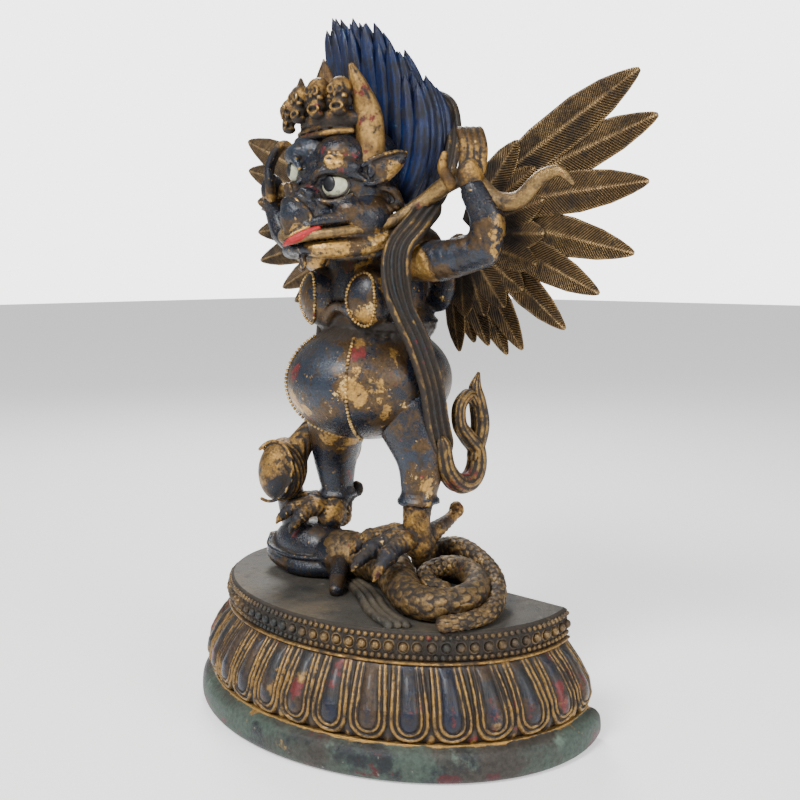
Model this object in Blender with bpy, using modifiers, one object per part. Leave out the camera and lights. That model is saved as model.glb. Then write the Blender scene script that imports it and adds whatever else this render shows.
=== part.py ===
"""A garuda statue: a bird-headed guardian that tramples a serpent spirit on a lotus base.

Metres, +Z up. The figure faces -Y, its left hand is at +X, and the origin is the
middle of the base's underside. The carving is laid out in shares of the figure's height.
"""

import math

import bmesh
import bpy
from mathutils import Matrix, Vector

# Lotus base: a half oval, round to the front and flat at the back
BASE_HEIGHT = 0.065
TABLE_HALF_WIDTH = 0.100
TABLE_DEPTH_FRONT = 0.079
TABLE_DEPTH_BACK = 0.020
FLANGE_HEIGHT = 0.015
FLANGE_REACH = 0.016
FLANGE_BACK_REACH = 0.010
BEAD_BAND_HEIGHT = 0.014
BEAD_COUNT = 48
BEAD_RISE = 0.0016
PETAL_COUNT = 19
PETAL_BULGE = 0.012
PETAL_GROOVE = 0.0026
SEAT_GAP = 0.0003

# The figure above the table, and the height that the carving's units divide
FIGURE_HEIGHT = 0.286
CARVED_UNITS = 286.0
UNIT = FIGURE_HEIGHT / CARVED_UNITS

# Wings: thin castings pegged flat to the shoulder blades
WING_SEAT_Y = 0.0105
WING_THICKNESS = 0.0022
WING_LAYER_STEP = 0.0010
WING_LEAN = 0.0020
SEAT_PLATE_THICKNESS = 0.0045
SEAT_CENTRE = (31, 163)
SEAT_RADII = (17, 14)
SEAT_TALLNESS = 1.3
SEAT_POCKET = (36, 40, 52)
LONG_FEATHER_WIDTHS = (22, 13)
COVERT_ROOT = (34, 180)
COVERT_REACH = (54, 40)
COVERT_TURNS = (52, -88)
COVERT_WIDTH = 22
COVERT_FEATHERS = 7

# Tips of the long feathers (x, height), from the top feather to the lowest
LEFT_TIPS = (
    (131, 249), (140, 229), (137, 201), (130, 170), (113, 152), (94, 135),
    (70, 124), (60, 121), (49, 125), (39, 126), (30, 121),
)
RIGHT_TIPS = (
    (138, 239), (139, 222), (130, 203), (131, 185), (128, 168), (109, 152),
    (97, 144), (79, 136), (62, 129), (48, 125), (35, 122),
)

# Surface working sizes
VOXEL = 1.05 * UNIT
FIGURE_TRIANGLES = 4500

BRONZE_GOLD = ("gilt_lacquer", (0.34, 0.22, 0.09), 0.38, 0.75)
WING_BRONZE = ("wing_bronze", (0.26, 0.17, 0.08), 0.42, 0.80)
BASE_BRONZE = ("base_bronze", (0.13, 0.11, 0.08), 0.55, 0.55)


def clear_scene():
    """Remove whatever the startup scene holds."""
    for thing in list(bpy.data.objects):
        bpy.data.objects.remove(thing, do_unlink=True)


def new_collection(name):
    """A collection linked to the scene."""
    made = bpy.data.collections.new(name)
    bpy.context.scene.collection.children.link(made)
    return made


def metal(spec):
    """A Principled material from a (name, colour, roughness, metallic) tuple."""
    name, colour, roughness, metallic = spec
    made = bpy.data.materials.new(name)
    made.use_nodes = True
    shader = made.node_tree.nodes["Principled BSDF"]
    shader.inputs["Base Color"].default_value = (*colour, 1.0)
    shader.inputs["Roughness"].default_value = roughness
    shader.inputs["Metallic"].default_value = metallic
    return made


def at(x, y, z):
    """A point of the carving, in carving units above the table, as metres."""
    return Vector((x * UNIT, y * UNIT, BASE_HEIGHT + z * UNIT))


def evaluated_mesh(thing):
    """The object's mesh with its modifiers and its place applied."""
    graph = bpy.context.evaluated_depsgraph_get()
    graph.update()
    made = bpy.data.meshes.new_from_object(thing.evaluated_get(graph))
    made.transform(thing.matrix_world)
    return made


class Carving:
    """Overlapping closed shapes that become one solid when they are remeshed."""

    def __init__(self):
        self.shapes = bmesh.new()

    def ball(self, centre, radii, turn=(0, 0, 0), segments=20):
        """An ellipsoid: centre and radii in carving units, turn in degrees."""
        spin = Matrix.Rotation(math.radians(turn[2]), 4, "Z")
        spin @= Matrix.Rotation(math.radians(turn[1]), 4, "Y")
        spin @= Matrix.Rotation(math.radians(turn[0]), 4, "X")
        size = Matrix.Diagonal((*(r * UNIT for r in radii), 1))
        work = bmesh.new()
        bmesh.ops.create_uvsphere(
            work,
            u_segments=segments,
            v_segments=max(8, segments // 2),
            radius=1.0,
            matrix=Matrix.Translation(at(*centre)) @ spin @ size,
        )
        mesh = bpy.data.meshes.new("ball")
        work.to_mesh(mesh)
        work.free()
        self.shapes.from_mesh(mesh)
        bpy.data.meshes.remove(mesh)

    def tube(self, points, radii, sides=2, steps=4):
        """A tapering round limb through the points, with a radius at each."""
        line = bpy.data.curves.new("limb", "CURVE")
        line.dimensions = "3D"
        line.bevel_depth = UNIT
        line.bevel_resolution = sides
        line.use_fill_caps = True
        line.resolution_u = steps
        spline = line.splines.new("BEZIER")
        spline.bezier_points.add(len(points) - 1)
        for knot, point, radius in zip(spline.bezier_points, points, radii):
            knot.co = at(*point)
            knot.radius = radius
            knot.handle_left_type = knot.handle_right_type = "AUTO"
        self.take(bpy.data.objects.new("limb", line))
        bpy.data.curves.remove(line)
        for end, radius in ((points[0], radii[0]), (points[-1], radii[-1])):
            self.ball(end, (radius * 0.97,) * 3, segments=12)

    def pleats(self, points, across, strands, pitch, radius):
        """A pleated scarf: strands side by side along one path.

        across holds, for each point, the direction in which the cloth is wide.
        """
        for strand in range(strands):
            shift = (strand - (strands - 1) / 2) * pitch
            path = []
            for point, side in zip(points, across):
                wide = Vector(side).normalized() * shift
                path.append(tuple(Vector(point) + wide))
            self.tube(path, [radius] * len(path), sides=1, steps=3)

    def take(self, thing):
        """Adds an object's evaluated mesh to the shapes and removes the object."""
        bpy.context.scene.collection.objects.link(thing)
        bpy.context.view_layer.update()
        mesh = evaluated_mesh(thing)
        welded = bmesh.new()
        welded.from_mesh(mesh)
        bmesh.ops.remove_doubles(welded, verts=welded.verts, dist=1e-6)
        welded.to_mesh(mesh)
        welded.free()
        self.shapes.from_mesh(mesh)
        bpy.data.meshes.remove(mesh)
        bpy.data.objects.remove(thing, do_unlink=True)

    def finish(self, name, collection, material, triangles):
        """One closed solid of the shapes, remeshed and thinned to a triangle count."""
        mesh = bpy.data.meshes.new(name)
        self.shapes.to_mesh(mesh)
        self.shapes.free()
        solid = bpy.data.objects.new(name, mesh)
        collection.objects.link(solid)
        remesh = solid.modifiers.new("fuse", "REMESH")
        remesh.mode = "VOXEL"
        remesh.voxel_size = VOXEL
        bpy.context.view_layer.update()
        solid.data = outer_shell(evaluated_mesh(solid), name)
        solid.modifiers.clear()
        thin = solid.modifiers.new("thin", "DECIMATE")
        thin.ratio = triangles / (2 * len(solid.data.polygons))
        thin.use_collapse_triangulate = True
        solid.data.materials.append(material)
        return solid


def outer_shell(mesh, name):
    """The largest connected body of a mesh, without loose scraps or inner pockets."""
    work = bmesh.new()
    work.from_mesh(mesh)
    unseen = set(work.verts)
    islands = []
    while unseen:
        stack = [unseen.pop()]
        island = set(stack)
        while stack:
            for edge in stack.pop().link_edges:
                for end in edge.verts:
                    if end in unseen:
                        unseen.remove(end)
                        island.add(end)
                        stack.append(end)
        islands.append(island)
    largest = max(islands, key=len)
    scraps = [v for v in work.verts if v not in largest]
    bmesh.ops.delete(work, geom=scraps, context="VERTS")
    kept = bpy.data.meshes.new(name)
    work.to_mesh(kept)
    work.free()
    return kept


def half_oval(half_width, front, back, steps):
    """Corners of the base's plan, from the back left corner round the front."""
    side = math.asin(back / front)
    turns = [-math.pi - side + (math.pi + 2 * side) * i / steps for i in range(steps + 1)]
    return [(half_width * math.cos(t), front * math.sin(t), t) for t in turns]


def drum(name, collection, rows, steps, swell=None):
    """A closed drum on the half-oval plan.

    rows holds (z, reach, back_reach): how far each level stands out from the table's
    edge. swell(column_share, row) adds to the reach along the rounded front.
    """
    work = bmesh.new()
    rings = []
    for number, (z, reach, back_reach) in enumerate(rows):
        ring = []
        plan = half_oval(
            TABLE_HALF_WIDTH + reach,
            TABLE_DEPTH_FRONT + reach,
            TABLE_DEPTH_BACK + back_reach,
            steps,
        )
        for column, (x, y, turn) in enumerate(plan):
            extra = swell(column / steps, number) if swell else 0.0
            out = Vector((math.cos(turn), math.sin(turn), 0)) * extra
            ring.append(work.verts.new(Vector((x, y, z)) + out))
        rings.append(ring)
    for low, high in zip(rings, rings[1:]):
        for i in range(len(low)):
            j = (i + 1) % len(low)
            work.faces.new((low[i], low[j], high[j], high[i]))
    work.faces.new(reversed(rings[0]))
    work.faces.new(rings[-1])
    bmesh.ops.triangulate(work, faces=[f for f in work.faces if len(f.verts) > 4])
    bmesh.ops.recalc_face_normals(work, faces=work.faces)
    mesh = bpy.data.meshes.new(name)
    work.to_mesh(mesh)
    work.free()
    made = bpy.data.objects.new(name, mesh)
    collection.objects.link(made)
    return made


def join_by_union(target, others, solver="EXACT"):
    """Fuses the other objects into the target and removes them."""
    for other in others:
        union = target.modifiers.new("union", "BOOLEAN")
        union.operation = "UNION"
        union.solver = solver
        union.object = other
        bpy.context.view_layer.update()
        mesh = evaluated_mesh(target)
        target.modifiers.clear()
        target.data = mesh
        bpy.data.objects.remove(other, do_unlink=True)


def bead_swell(share, row):
    """Rounds of beads on the band: every other column of the middle row stands out."""
    column = round(share * BEAD_COUNT * 2)
    return BEAD_RISE if row == 2 and column % 2 else 0.0


def petal_swell(share, row):
    """The fronts of the lotus petals, with a groove between neighbours."""
    across = (share * PETAL_COUNT) % 1.0
    if across < 1e-6 or across > 1 - 1e-6:
        return -PETAL_GROOVE if 0 < row < 6 else 0.0
    crown = math.sin(math.pi * across) ** 0.5
    lift = (0.0, 0.4, 0.9, 1.0, 0.8, 0.4, 0.0)[row]
    return PETAL_GROOVE * 0.8 * crown * lift


def make_base(collection, material):
    """The lotus base: plain flange, one row of hanging petals, and the beaded table."""
    table_low = BASE_HEIGHT - BEAD_BAND_HEIGHT
    lap = 0.001
    flange = drum(
        "lotus_base",
        collection,
        [
            (0.0, FLANGE_REACH - 0.002, FLANGE_BACK_REACH - 0.001),
            (0.003, FLANGE_REACH, FLANGE_BACK_REACH),
            (FLANGE_HEIGHT - 0.005, FLANGE_REACH, FLANGE_BACK_REACH),
            (FLANGE_HEIGHT - 0.001, FLANGE_REACH - 0.003, FLANGE_BACK_REACH - 0.002),
            (FLANGE_HEIGHT + lap, PETAL_BULGE * 0.5, 0.004),
        ],
        36,
    )
    zone = table_low - FLANGE_HEIGHT
    shape = ((0.0, 0.62), (0.07, 0.86), (0.22, 1.0), (0.45, 0.86), (0.7, 0.42), (0.9, 0.0), (1.0, -0.3))
    rows = []
    for number, (share, bulge) in enumerate(shape):
        z = FLANGE_HEIGHT + share * zone + (lap if number == 6 else 0.0)
        rows.append((z, PETAL_BULGE * bulge, 0.006 * max(bulge, 0.0)))
    petals = drum("petals", collection, rows, PETAL_COUNT * 3, petal_swell)
    table = drum(
        "table",
        collection,
        [
            (table_low, -0.002, -0.001),
            (table_low + 0.003, 0.0, 0.0),
            (table_low + BEAD_BAND_HEIGHT * 0.5, 0.0, 0.0),
            (BASE_HEIGHT - 0.0015, 0.0, 0.0),
            (BASE_HEIGHT, -0.0012, -0.001),
        ],
        BEAD_COUNT * 2,
        bead_swell,
    )
    join_by_union(flange, [petals, table])
    flange.data.materials.clear()
    flange.data.materials.append(material)
    return flange


def carve_body(carving):
    """Chest, shoulders, the round belly and the garment's hem under the chest."""
    carving.ball((0, -16, 155), (30, 23, 27))
    carving.ball((0, -19, 107), (39, 45, 30))
    carving.ball((0, -12, 136), (30, 27, 16))
    carving.ball((0, -20, 176), (24, 20, 14))
    for side in (-1, 1):
        carving.ball((side * 34, -20, 172), (12, 12, 12))
        breast = 15 if side > 0 else 17
        carving.ball((side * breast, -35, 149), (13, 11, 15))
        carving.ball((side * breast, -46, 147), (2.5, 2.5, 2.5))
        beads = []
        for step in range(7):
            lift = math.radians(-62 + step * 20)
            turn = math.radians(40)
            beads.append((
                side * 40 * math.sin(turn) * math.cos(lift),
                -19 - 47 * math.cos(turn) * math.cos(lift),
                107 + 31 * math.sin(lift),
            ))
        carving.tube(beads, [1.5] * len(beads), sides=1, steps=2)
    hem = []
    for step in range(17):
        turn = math.radians(-160 + step * 20)
        rise = 4.0 * abs(math.cos(turn)) ** 6
        hem.append((31 * math.sin(turn), -14 - 29 * math.cos(turn), 136 + rise))
    carving.tube(hem, [2.0] * len(hem), sides=1, steps=2)


def carve_leg(carving, side, hip, knee, hem, ankle, sole, spur_tip):
    """A trousered leg with a flared hem, a bird's shank and its back spur."""
    carving.tube([hip, knee, hem], [19.0, 12.5, 8.5])
    carving.tube([hem, (hem[0], hem[1], hem[2] - 3.5)], [9.5, 10.8])
    carving.tube([hem, ankle, sole], [7.6, 6.8, 8.0])
    heel = (ankle[0], ankle[1] + 4, ankle[2] - 9)
    bend = (spur_tip[0], spur_tip[1] - 7, spur_tip[2] - 4)
    carving.tube([heel, bend, spur_tip], [6.0, 3.6, 4.0])


def carve_talons(carving, sole, ends, thick):
    """Front toes from the sole, each with knuckles and a down-turned claw."""
    for end in ends:
        toe = []
        for share, lift in ((0.0, 3.0), (0.35, 6.0), (0.7, 4.0), (1.0, -4.0)):
            toe.append(tuple(s + (e - s) * share + (lift if i == 2 else 0.0)
                             for i, (s, e) in enumerate(zip(sole, end))))
        carving.tube(toe, [thick * 1.15, thick, thick * 0.85, thick * 0.3])
        carving.ball(toe[1], (thick * 1.15,) * 3, segments=10)
        carving.ball(toe[2], (thick * 1.05,) * 3, segments=10)


def carve_legs(carving):
    """Both legs: the left one stands on the serpent, the right on the spirit's back."""
    left_sole = (33, -18, 27)
    carve_leg(carving, 1, (25, -16, 92), (33, -17, 70), (34, -20, 51), (33, -20, 38), left_sole, (35, 8, 40))
    left_ends = [(8, -42, 26), (20, -52, 22), (35, -52, 20)]
    carve_talons(carving, left_sole, left_ends, 4.8)
    right_sole = (-34, -15, 31)
    right_knee, right_hem = (-36, -10, 64), (-36, -9, 43)
    carve_leg(carving, -1, (-27, -15, 92), right_knee, right_hem, (-34, -12, 38), right_sole, (-33, 3, 42))
    right_ends = [(-58, -27, 36), (-54, -37, 31), (-42, -38, 28)]
    carve_talons(carving, right_sole, right_ends, 4.4)


ARMS = {
    1: (((31, -20, 168), (52, -22, 167), (74, -20, 172)), (11.0, 9.5, 8.5),
        ((74, -20, 172), (76, -20, 185), (71, -24, 198)), (8.5, 8.0, 6.0)),
    -1: (((-31, -20, 170), (-47, -21, 174), (-63, -22, 182)), (10.5, 7.6, 6.6),
         ((-63, -22, 182), (-67, -22, 190), (-69, -24, 199)), (6.6, 6.2, 5.4)),
}
FINGERS = {
    1: ((70, -24, 206), (71, -24, 216), (69, -23, 222), (65, -20, 225.5), (61, -16, 223)),
    -1: ((-70, -24, 205), (-69, -26, 215), (-65, -25, 224), (-60, -22, 228.5), (-56, -18, 225)),
}


def carve_arm(carving, side):
    """A raised arm whose open hand holds the snake, the fingers bent back on top."""
    upper, upper_radii, lower, lower_radii = ARMS[side]
    carving.tube(upper, upper_radii)
    carving.tube(lower, lower_radii)
    carving.ball((side * 69, -24, 205), (6.5, 6.5, 8.5))
    for finger in range(4):
        spread = (finger - 1.5) * 2.8
        path = [(x + side * 0.68 * spread, y + 0.72 * spread, z) for x, y, z in FINGERS[side]]
        carving.tube(path, [2.9, 2.9, 2.7, 2.4, 1.4], sides=1)
    thumb = [(side * 63, -30, 201), (side * 61, -33, 208), (side * 62, -33, 214)]
    carving.tube(thumb, [3.2, 2.8, 2.0], sides=1)


def carve_head(carving):
    """The bird's head: skull, cheeks, brows, beak, jaw, ears and horns."""
    carving.ball((0, -34, 205), (26, 26, 25))
    carving.ball((0, -31, 216), (24, 23, 17))
    carving.ball((0, -38, 180), (26, 24, 12))
    carving.ball((0, -56, 186), (15, 12, 12))
    carving.ball((0, -58, 174), (11, 11, 5.5))
    carving.tube([(0, -60, 192), (0, -67, 187), (0, -70, 181), (0, -73.5, 174)], [9.5, 10.5, 8.0, 2.0])
    for side in (-1, 1):
        tilt = 0.0 if side > 0 else 6.0
        carving.ball((side * 20, -40, 187 + tilt), (10, 14, 11))
        brow = [(side * 4, -62, 206), (side * 9, -61, 212), (side * 18, -54, 213), (side * 25, -42, 208)]
        carving.tube([(x, y, z + tilt) for x, y, z in brow], [3.2, 4.2, 4.0, 3.0])
        carving.ball((side * 12.5, -51.5, 202 + tilt), (6.8, 5.6, 6.2))
        carving.ball((side * 5.5, -65, 198 + tilt), (4.4, 4.0, 3.8))
        lips = [(side * 9, -65, 183), (side * 17, -55, 184), (side * 24, -42, 186), (side * 27, -30, 188)]
        carving.tube(lips, [2.6, 2.8, 2.8, 2.4], sides=1)
        ear = [(side * 23, -41, 207), (side * 29, -37, 212), (side * 34, -31, 216), (side * 36, -28, 219)]
        carving.tube(ear, [6.5, 6.0, 3.8, 1.2])
    near_horn = [(20, -39, 211), (20, -38.5, 223), (19.3, -39.5, 235), (19, -44, 246), (17.5, -48, 256)]
    far_horn = [(-20, -38, 212), (-20, -37, 222), (-19, -38.5, 234), (-17, -43, 243), (-15.5, -46, 249)]
    for horn in (near_horn, far_horn):
        carving.tube(horn, [6.6, 7.2, 6.8, 4.3, 1.4])


def carve_crown(carving):
    """The diadem: a band over the brow, a shallow row of skulls on it and a leaf-shaped jewel."""
    band = [(-27, -42, 225), (-17, -52, 226), (0, -55, 227), (17, -51, 227), (27, -39, 226)]
    carving.tube(band, [3.4] * len(band), sides=1)
    carving.ball((0, -43, 232), (22, 8, 9))
    skulls = ((-24.5, -48.5, 240.5), (-11.5, -53.5, 244.5), (2, -54.5, 246), (14, -52, 246))
    for number, (x, y, z) in enumerate(skulls):
        size = 1.0 - 0.06 * abs(number - 2)
        carving.ball((x, y, z), (6.0 * size, 5.6 * size, 5.8 * size), segments=12)
        carving.ball((x, y - 1.2, z - 7.5), (4.6 * size, 4.0 * size, 5.0 * size), segments=10)
    carving.tube([(-1, -49, 247), (-1.5, -48, 254), (-2, -48, 260.5)], [6.2, 4.6, 0.8])


# Where a lock ends, by how far to the side it grows: (lean, x, height)
HAIR_TIPS = (
    (-1.0, -33, 248), (-0.8, -24, 266), (-0.6, -20, 281), (-0.4, -15, 286), (-0.2, -8, 282), (0.0, -1, 282),
    (0.2, 7, 283), (0.4, 15, 273.5), (0.6, 22, 270), (0.8, 29, 260), (1.0, 34, 253),
)


def hair_width(height):
    """Half the hair's width at a height: full beside the horns, drawn in to a point."""
    share = (height - 196) / 90
    return 39 * math.sin(math.pi * (0.22 + 0.78 * share)) ** 0.5 if share < 1 else 0.0


def hair_plane(height):
    """The hair's middle plane leans forward as it climbs."""
    return -8 - 19 * max(0.0, (height - 236) / 50) ** 1.2


def hair_tip(lean):
    """The (x, height) where a lock ends: highest above the face, in steps to the sides."""
    for (near, near_x, high), (far, far_x, low) in zip(HAIR_TIPS, HAIR_TIPS[1:]):
        if lean <= far + 1e-6:
            share = (lean - near) / (far - near)
            return near_x + (far_x - near_x) * share, high + (low - high) * share
    return HAIR_TIPS[-1][1:]


def carve_hair(carving):
    """Hair that stands up like a flame: a flat core with rows of pointed locks."""
    for step in range(5):
        height = 210 + 9.5 * step
        wide = hair_width(height)
        carving.ball((0, hair_plane(height), height), (wide * 0.80, 12, 15), segments=16)
    for depth, locks, gain in ((-14, 7, 0.0), (-5, 9, 0.0), (3, 11, 0.0), (10, 8, -3.0)):
        for number in range(locks):
            lean = (number - (locks - 1) / 2) / ((locks - 1) / 2)
            tip_x, top = hair_tip(lean)
            top += gain - 3.0 * (number % 2)
            path = []
            for share, pull in ((0.0, 0.0), (0.35, 0.0), (0.7, 0.45), (1.0, 1.0)):
                height = 200 + (top - 200) * share
                x = lean * hair_width(min(height, 235)) * 0.85
                y = hair_plane(height) + depth * (1 - 0.4 * abs(lean)) * (1 - 0.6 * share)
                path.append((x + (tip_x - x) * pull, y, height))
            carving.tube(path, [4.6, 5.4, 4.8, 1.3], sides=1)


SCARF_FALLS = {
    1: [
        (44, -18, 196), (41, -29, 184), (37, -37, 173), (37, -39, 160), (38, -36, 145),
        (41, -28, 128), (44, -22, 108), (44, -17, 88), (45, -12, 70),
    ],
    -1: [
        (-44, -18, 196), (-40, -22, 184), (-35, -22, 173), (-34, -20, 160), (-34, -17, 145),
        (-40, -13, 128), (-44, -14, 108), (-44, -14, 88), (-45, -12, 70),
    ],
}


def carve_scarf(carving):
    """The long scarf: an arch behind the head, then down each side to a curled end."""
    for side in (-1, 1):
        arch = [
            (0, 9, 250), (side * 17, 8, 249), (side * 30, 6, 243), (side * 37, 2, 231),
            (side * 41, -4, 218), (side * 43, -12, 203), (side * 44, -22, 190),
        ]
        wide = [(0, 0.5, 1), (side, 0.8, 1), (side, 0.8, 0.6), (side, 0.8, 0.2)] + [(side, 0.8, 0)] * 3
        carving.pleats(arch, wide, 2, 3.0, 2.3)
        fall = SCARF_FALLS[side]
        level = [(side, 0.8, 0), (side, 0.8, 0.3), (side, 0.7, 0.3), (side, 0.9, 0)]
        level += [(0.2 * side, 1, 0)] * 5
        carving.pleats(fall, level, 4, 3.2, 2.3)
        carve_curl(carving, side)


def carve_curl(carving, side):
    """The scarf's end: two open loops in a figure of eight and a leaf-shaped tip."""
    x = side * 45
    loop = [
        (x, -15, 78), (x, -12, 66), (x, -4, 58), (x, 5, 57), (x, 11, 63), (x, 11, 73),
        (x, 4, 80), (x, -2, 87), (x, -2, 96), (x, 5, 101), (x, 10, 96),
    ]
    carving.tube(loop, [4.2, 4.4, 4.6, 4.6, 4.4, 4.2, 4.0, 3.2, 3.0, 3.0, 3.0])
    tip = [(x, 10, 70), (x, 14, 84), (x, 12, 96), (x, 10, 104), (x, 12, 110)]
    carving.tube(tip, [3.8, 4.4, 3.8, 2.8, 1.0])


def carve_snake(carving):
    """The snake across the beak and both palms; its end past the left hand curls outwards."""
    outer_end = [(79, -18, 194), (90, -15, 194), (101, -14, 203), (110, -13, 205), (116, -12, 200)]
    for side, end, end_radii in ((1, outer_end, [4.0, 3.6, 3.0, 2.4, 1.2]), (-1, [(-76, -19, 202)], [2.4])):
        path = [
            (0, -72, 177), (side * 10, -67, 178), (side * 20, -54, 180), (side * 28, -33, 184),
            (side * 38, -23, 193), (side * 54, -19, 203), (side * 66, -20, 203),
        ]
        carving.tube(path + end, [3.2, 3.0, 2.8, 3.2, 4.0, 4.4, 4.2] + end_radii, sides=1)


NAGA_BODY = (
    (-20, -20, 13, 12.5), (-2, -17, 13, 11.5), (16, -21, 12, 10.5), (32, -31, 9.5, 9.0),
    (48, -41, 8.0, 8.0), (62, -42, 8.0, 7.6), (71, -33, 9.0, 7.2), (71, -21, 10.5, 6.8),
    (62, -9, 12.5, 6.2), (49, -2, 14.0, 5.8), (38, -4, 13.5, 5.4), (34, -13, 11.0, 5.0),
    (41, -20, 8.5, 4.6), (50, -18, 7.0, 4.0),
)
NAGA_TAIL = (
    (16, 4, 12, 6.5), (26, 8, 18, 6.0), (38, 8, 21, 5.2), (52, 6, 18, 4.8), (65, 1, 13, 4.6),
    (76, -10, 8, 4.4), (83, -24, 5, 4.2), (83, -38, 4.4, 3.8), (77, -50, 4.0, 3.4),
)


def carve_naga(carving):
    """The serpent spirit: raised head, prone back, one arm, a sash and the coiled tail."""
    carving.ball((-56.5, -30, 55), (13.5, 13, 17.5), turn=(-12, 0, 0))
    carving.tube([(-53, -24, 64), (-47, -19, 76), (-44, -15, 84)], [8.5, 6.0, 3.6])
    carving.tube([(-56, -26, 44), (-56, -22, 28), (-52, -18, 16)], [7.5, 8.0, 12])
    carving.ball((-46, -19, 14), (24, 17, 15))
    carving.ball((-22, -18, 12), (22, 15, 13))
    carving.tube([(-68, -25, 13), (-58, -33, 8), (-38, -34, 5), (-20, -27, 6)], [5.5, 5.2, 5.0, 4.6])
    carving.tube([(-20, -20, 15), (-9, -33, 9), (1, -45, 3)], [6.0, 4.8, 4.0])
    for run in (NAGA_BODY, NAGA_TAIL):
        carving.tube([point[:3] for point in run], [point[3] for point in run])
    carving.tube([(18, 6, 6), (34, 9, 8), (50, 7, 8), (62, 1, 7)], [7.0, 7.0, 6.5, 5.0])
    for strand in range(3):
        off = (strand - 1) * 4.0
        path = []
        for x, y in ((-13, -24), (5, -31), (19, -39), (32, -48), (45, -55), (57, -59)):
            path.append((x + off * 0.7, y + off * 0.7, 0.6))
        carving.tube(path, [2.1] * 6, sides=1, steps=3)


def make_figure(collection, cutters, material):
    """The figure and the spirit under its feet, cast as one and flat beneath."""
    carving = Carving()
    carve_body(carving)
    carve_legs(carving)
    for side in (-1, 1):
        carve_arm(carving, side)
        carving.ball((side * 23, 7, 156), (12, 7.5, 15))
    carve_head(carving)
    carve_crown(carving)
    carve_hair(carving)
    carve_scarf(carving)
    carve_snake(carving)
    carve_naga(carving)
    figure = carving.finish("garuda_on_naga", collection, material, FIGURE_TRIANGLES)
    cut_flat(figure, cutters, "table_cut", (0, 0, BASE_HEIGHT + SEAT_GAP - 0.05), (0.4, 0.4, 0.1))
    for side in (-1, 1):
        wide, deep, tall = (size * UNIT for size in SEAT_POCKET)
        centre = at(side * 30, 0, 152)
        centre.y = WING_SEAT_Y + deep / 2
        cut_flat(figure, cutters, f"wing_seat_cut_{side}", centre, (wide, deep, tall))
    return figure


def cut_flat(target, cutters, name, centre, size):
    """Cuts a flat on the target with a box."""
    mesh = bpy.data.meshes.new(name)
    work = bmesh.new()
    place = Matrix.Translation(centre) @ Matrix.Diagonal((*size, 1))
    bmesh.ops.create_cube(work, size=1.0, matrix=place)
    work.to_mesh(mesh)
    work.free()
    cutter = bpy.data.objects.new(name, mesh)
    cutters.objects.link(cutter)
    cutter.hide_render = True
    cutter.display_type = "WIRE"
    cut = target.modifiers.new(name, "BOOLEAN")
    cut.operation = "DIFFERENCE"
    cut.object = cutter


def feather(name, collection, root, tip, width, depth, layer):
    """One feather: a thin blade with a raised midrib, in the wing's plane."""
    along = Vector((tip[0] - root[0], 0, tip[1] - root[1]))
    across = Vector((-along.z, 0, along.x)).normalized()
    work = bmesh.new()
    rings = []
    outline = ((0.0, 0.45), (0.35, 0.95), (0.65, 0.92), (0.86, 0.56), (1.0, 0.11))
    for share, wide in outline:
        centre = Vector((root[0], 0, root[1])) + along * share
        half = width / 2 * wide
        thick = WING_THICKNESS / 2 * (1.0 if share < 1 else 0.7)
        y = WING_SEAT_Y + SEAT_GAP + WING_THICKNESS / 2 + layer + depth * share
        ring = []
        for lateral, rise in ((-1, 0.35), (0, 1.0), (1, 0.35), (1, -0.35), (0, -1.0), (-1, -0.35)):
            spot = centre + across * half * lateral
            ring.append(work.verts.new((spot.x, y + thick * rise, spot.z)))
        rings.append(ring)
    for low, high in zip(rings, rings[1:]):
        for i in range(6):
            j = (i + 1) % 6
            work.faces.new((low[i], low[j], high[j], high[i]))
    work.faces.new(rings[0])
    work.faces.new(rings[-1])
    bmesh.ops.recalc_face_normals(work, faces=work.faces)
    mesh = bpy.data.meshes.new(name)
    work.to_mesh(mesh)
    work.free()
    made = bpy.data.objects.new(name, mesh)
    collection.objects.link(made)
    return made


def wing_plan(tips):
    """Roots, tips and widths of a wing's feathers, in metres (x, z)."""
    plan = []
    for number, tip in enumerate(tips):
        share = number / (len(tips) - 1)
        root = ((50 - 24 * share) * UNIT, BASE_HEIGHT + (203 - 44 * share) * UNIT)
        end = (tip[0] * UNIT, BASE_HEIGHT + tip[1] * UNIT)
        widest, narrowest = LONG_FEATHER_WIDTHS
        plan.append((root, end, (widest + (narrowest - widest) * share) * UNIT))
    return plan


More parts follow.
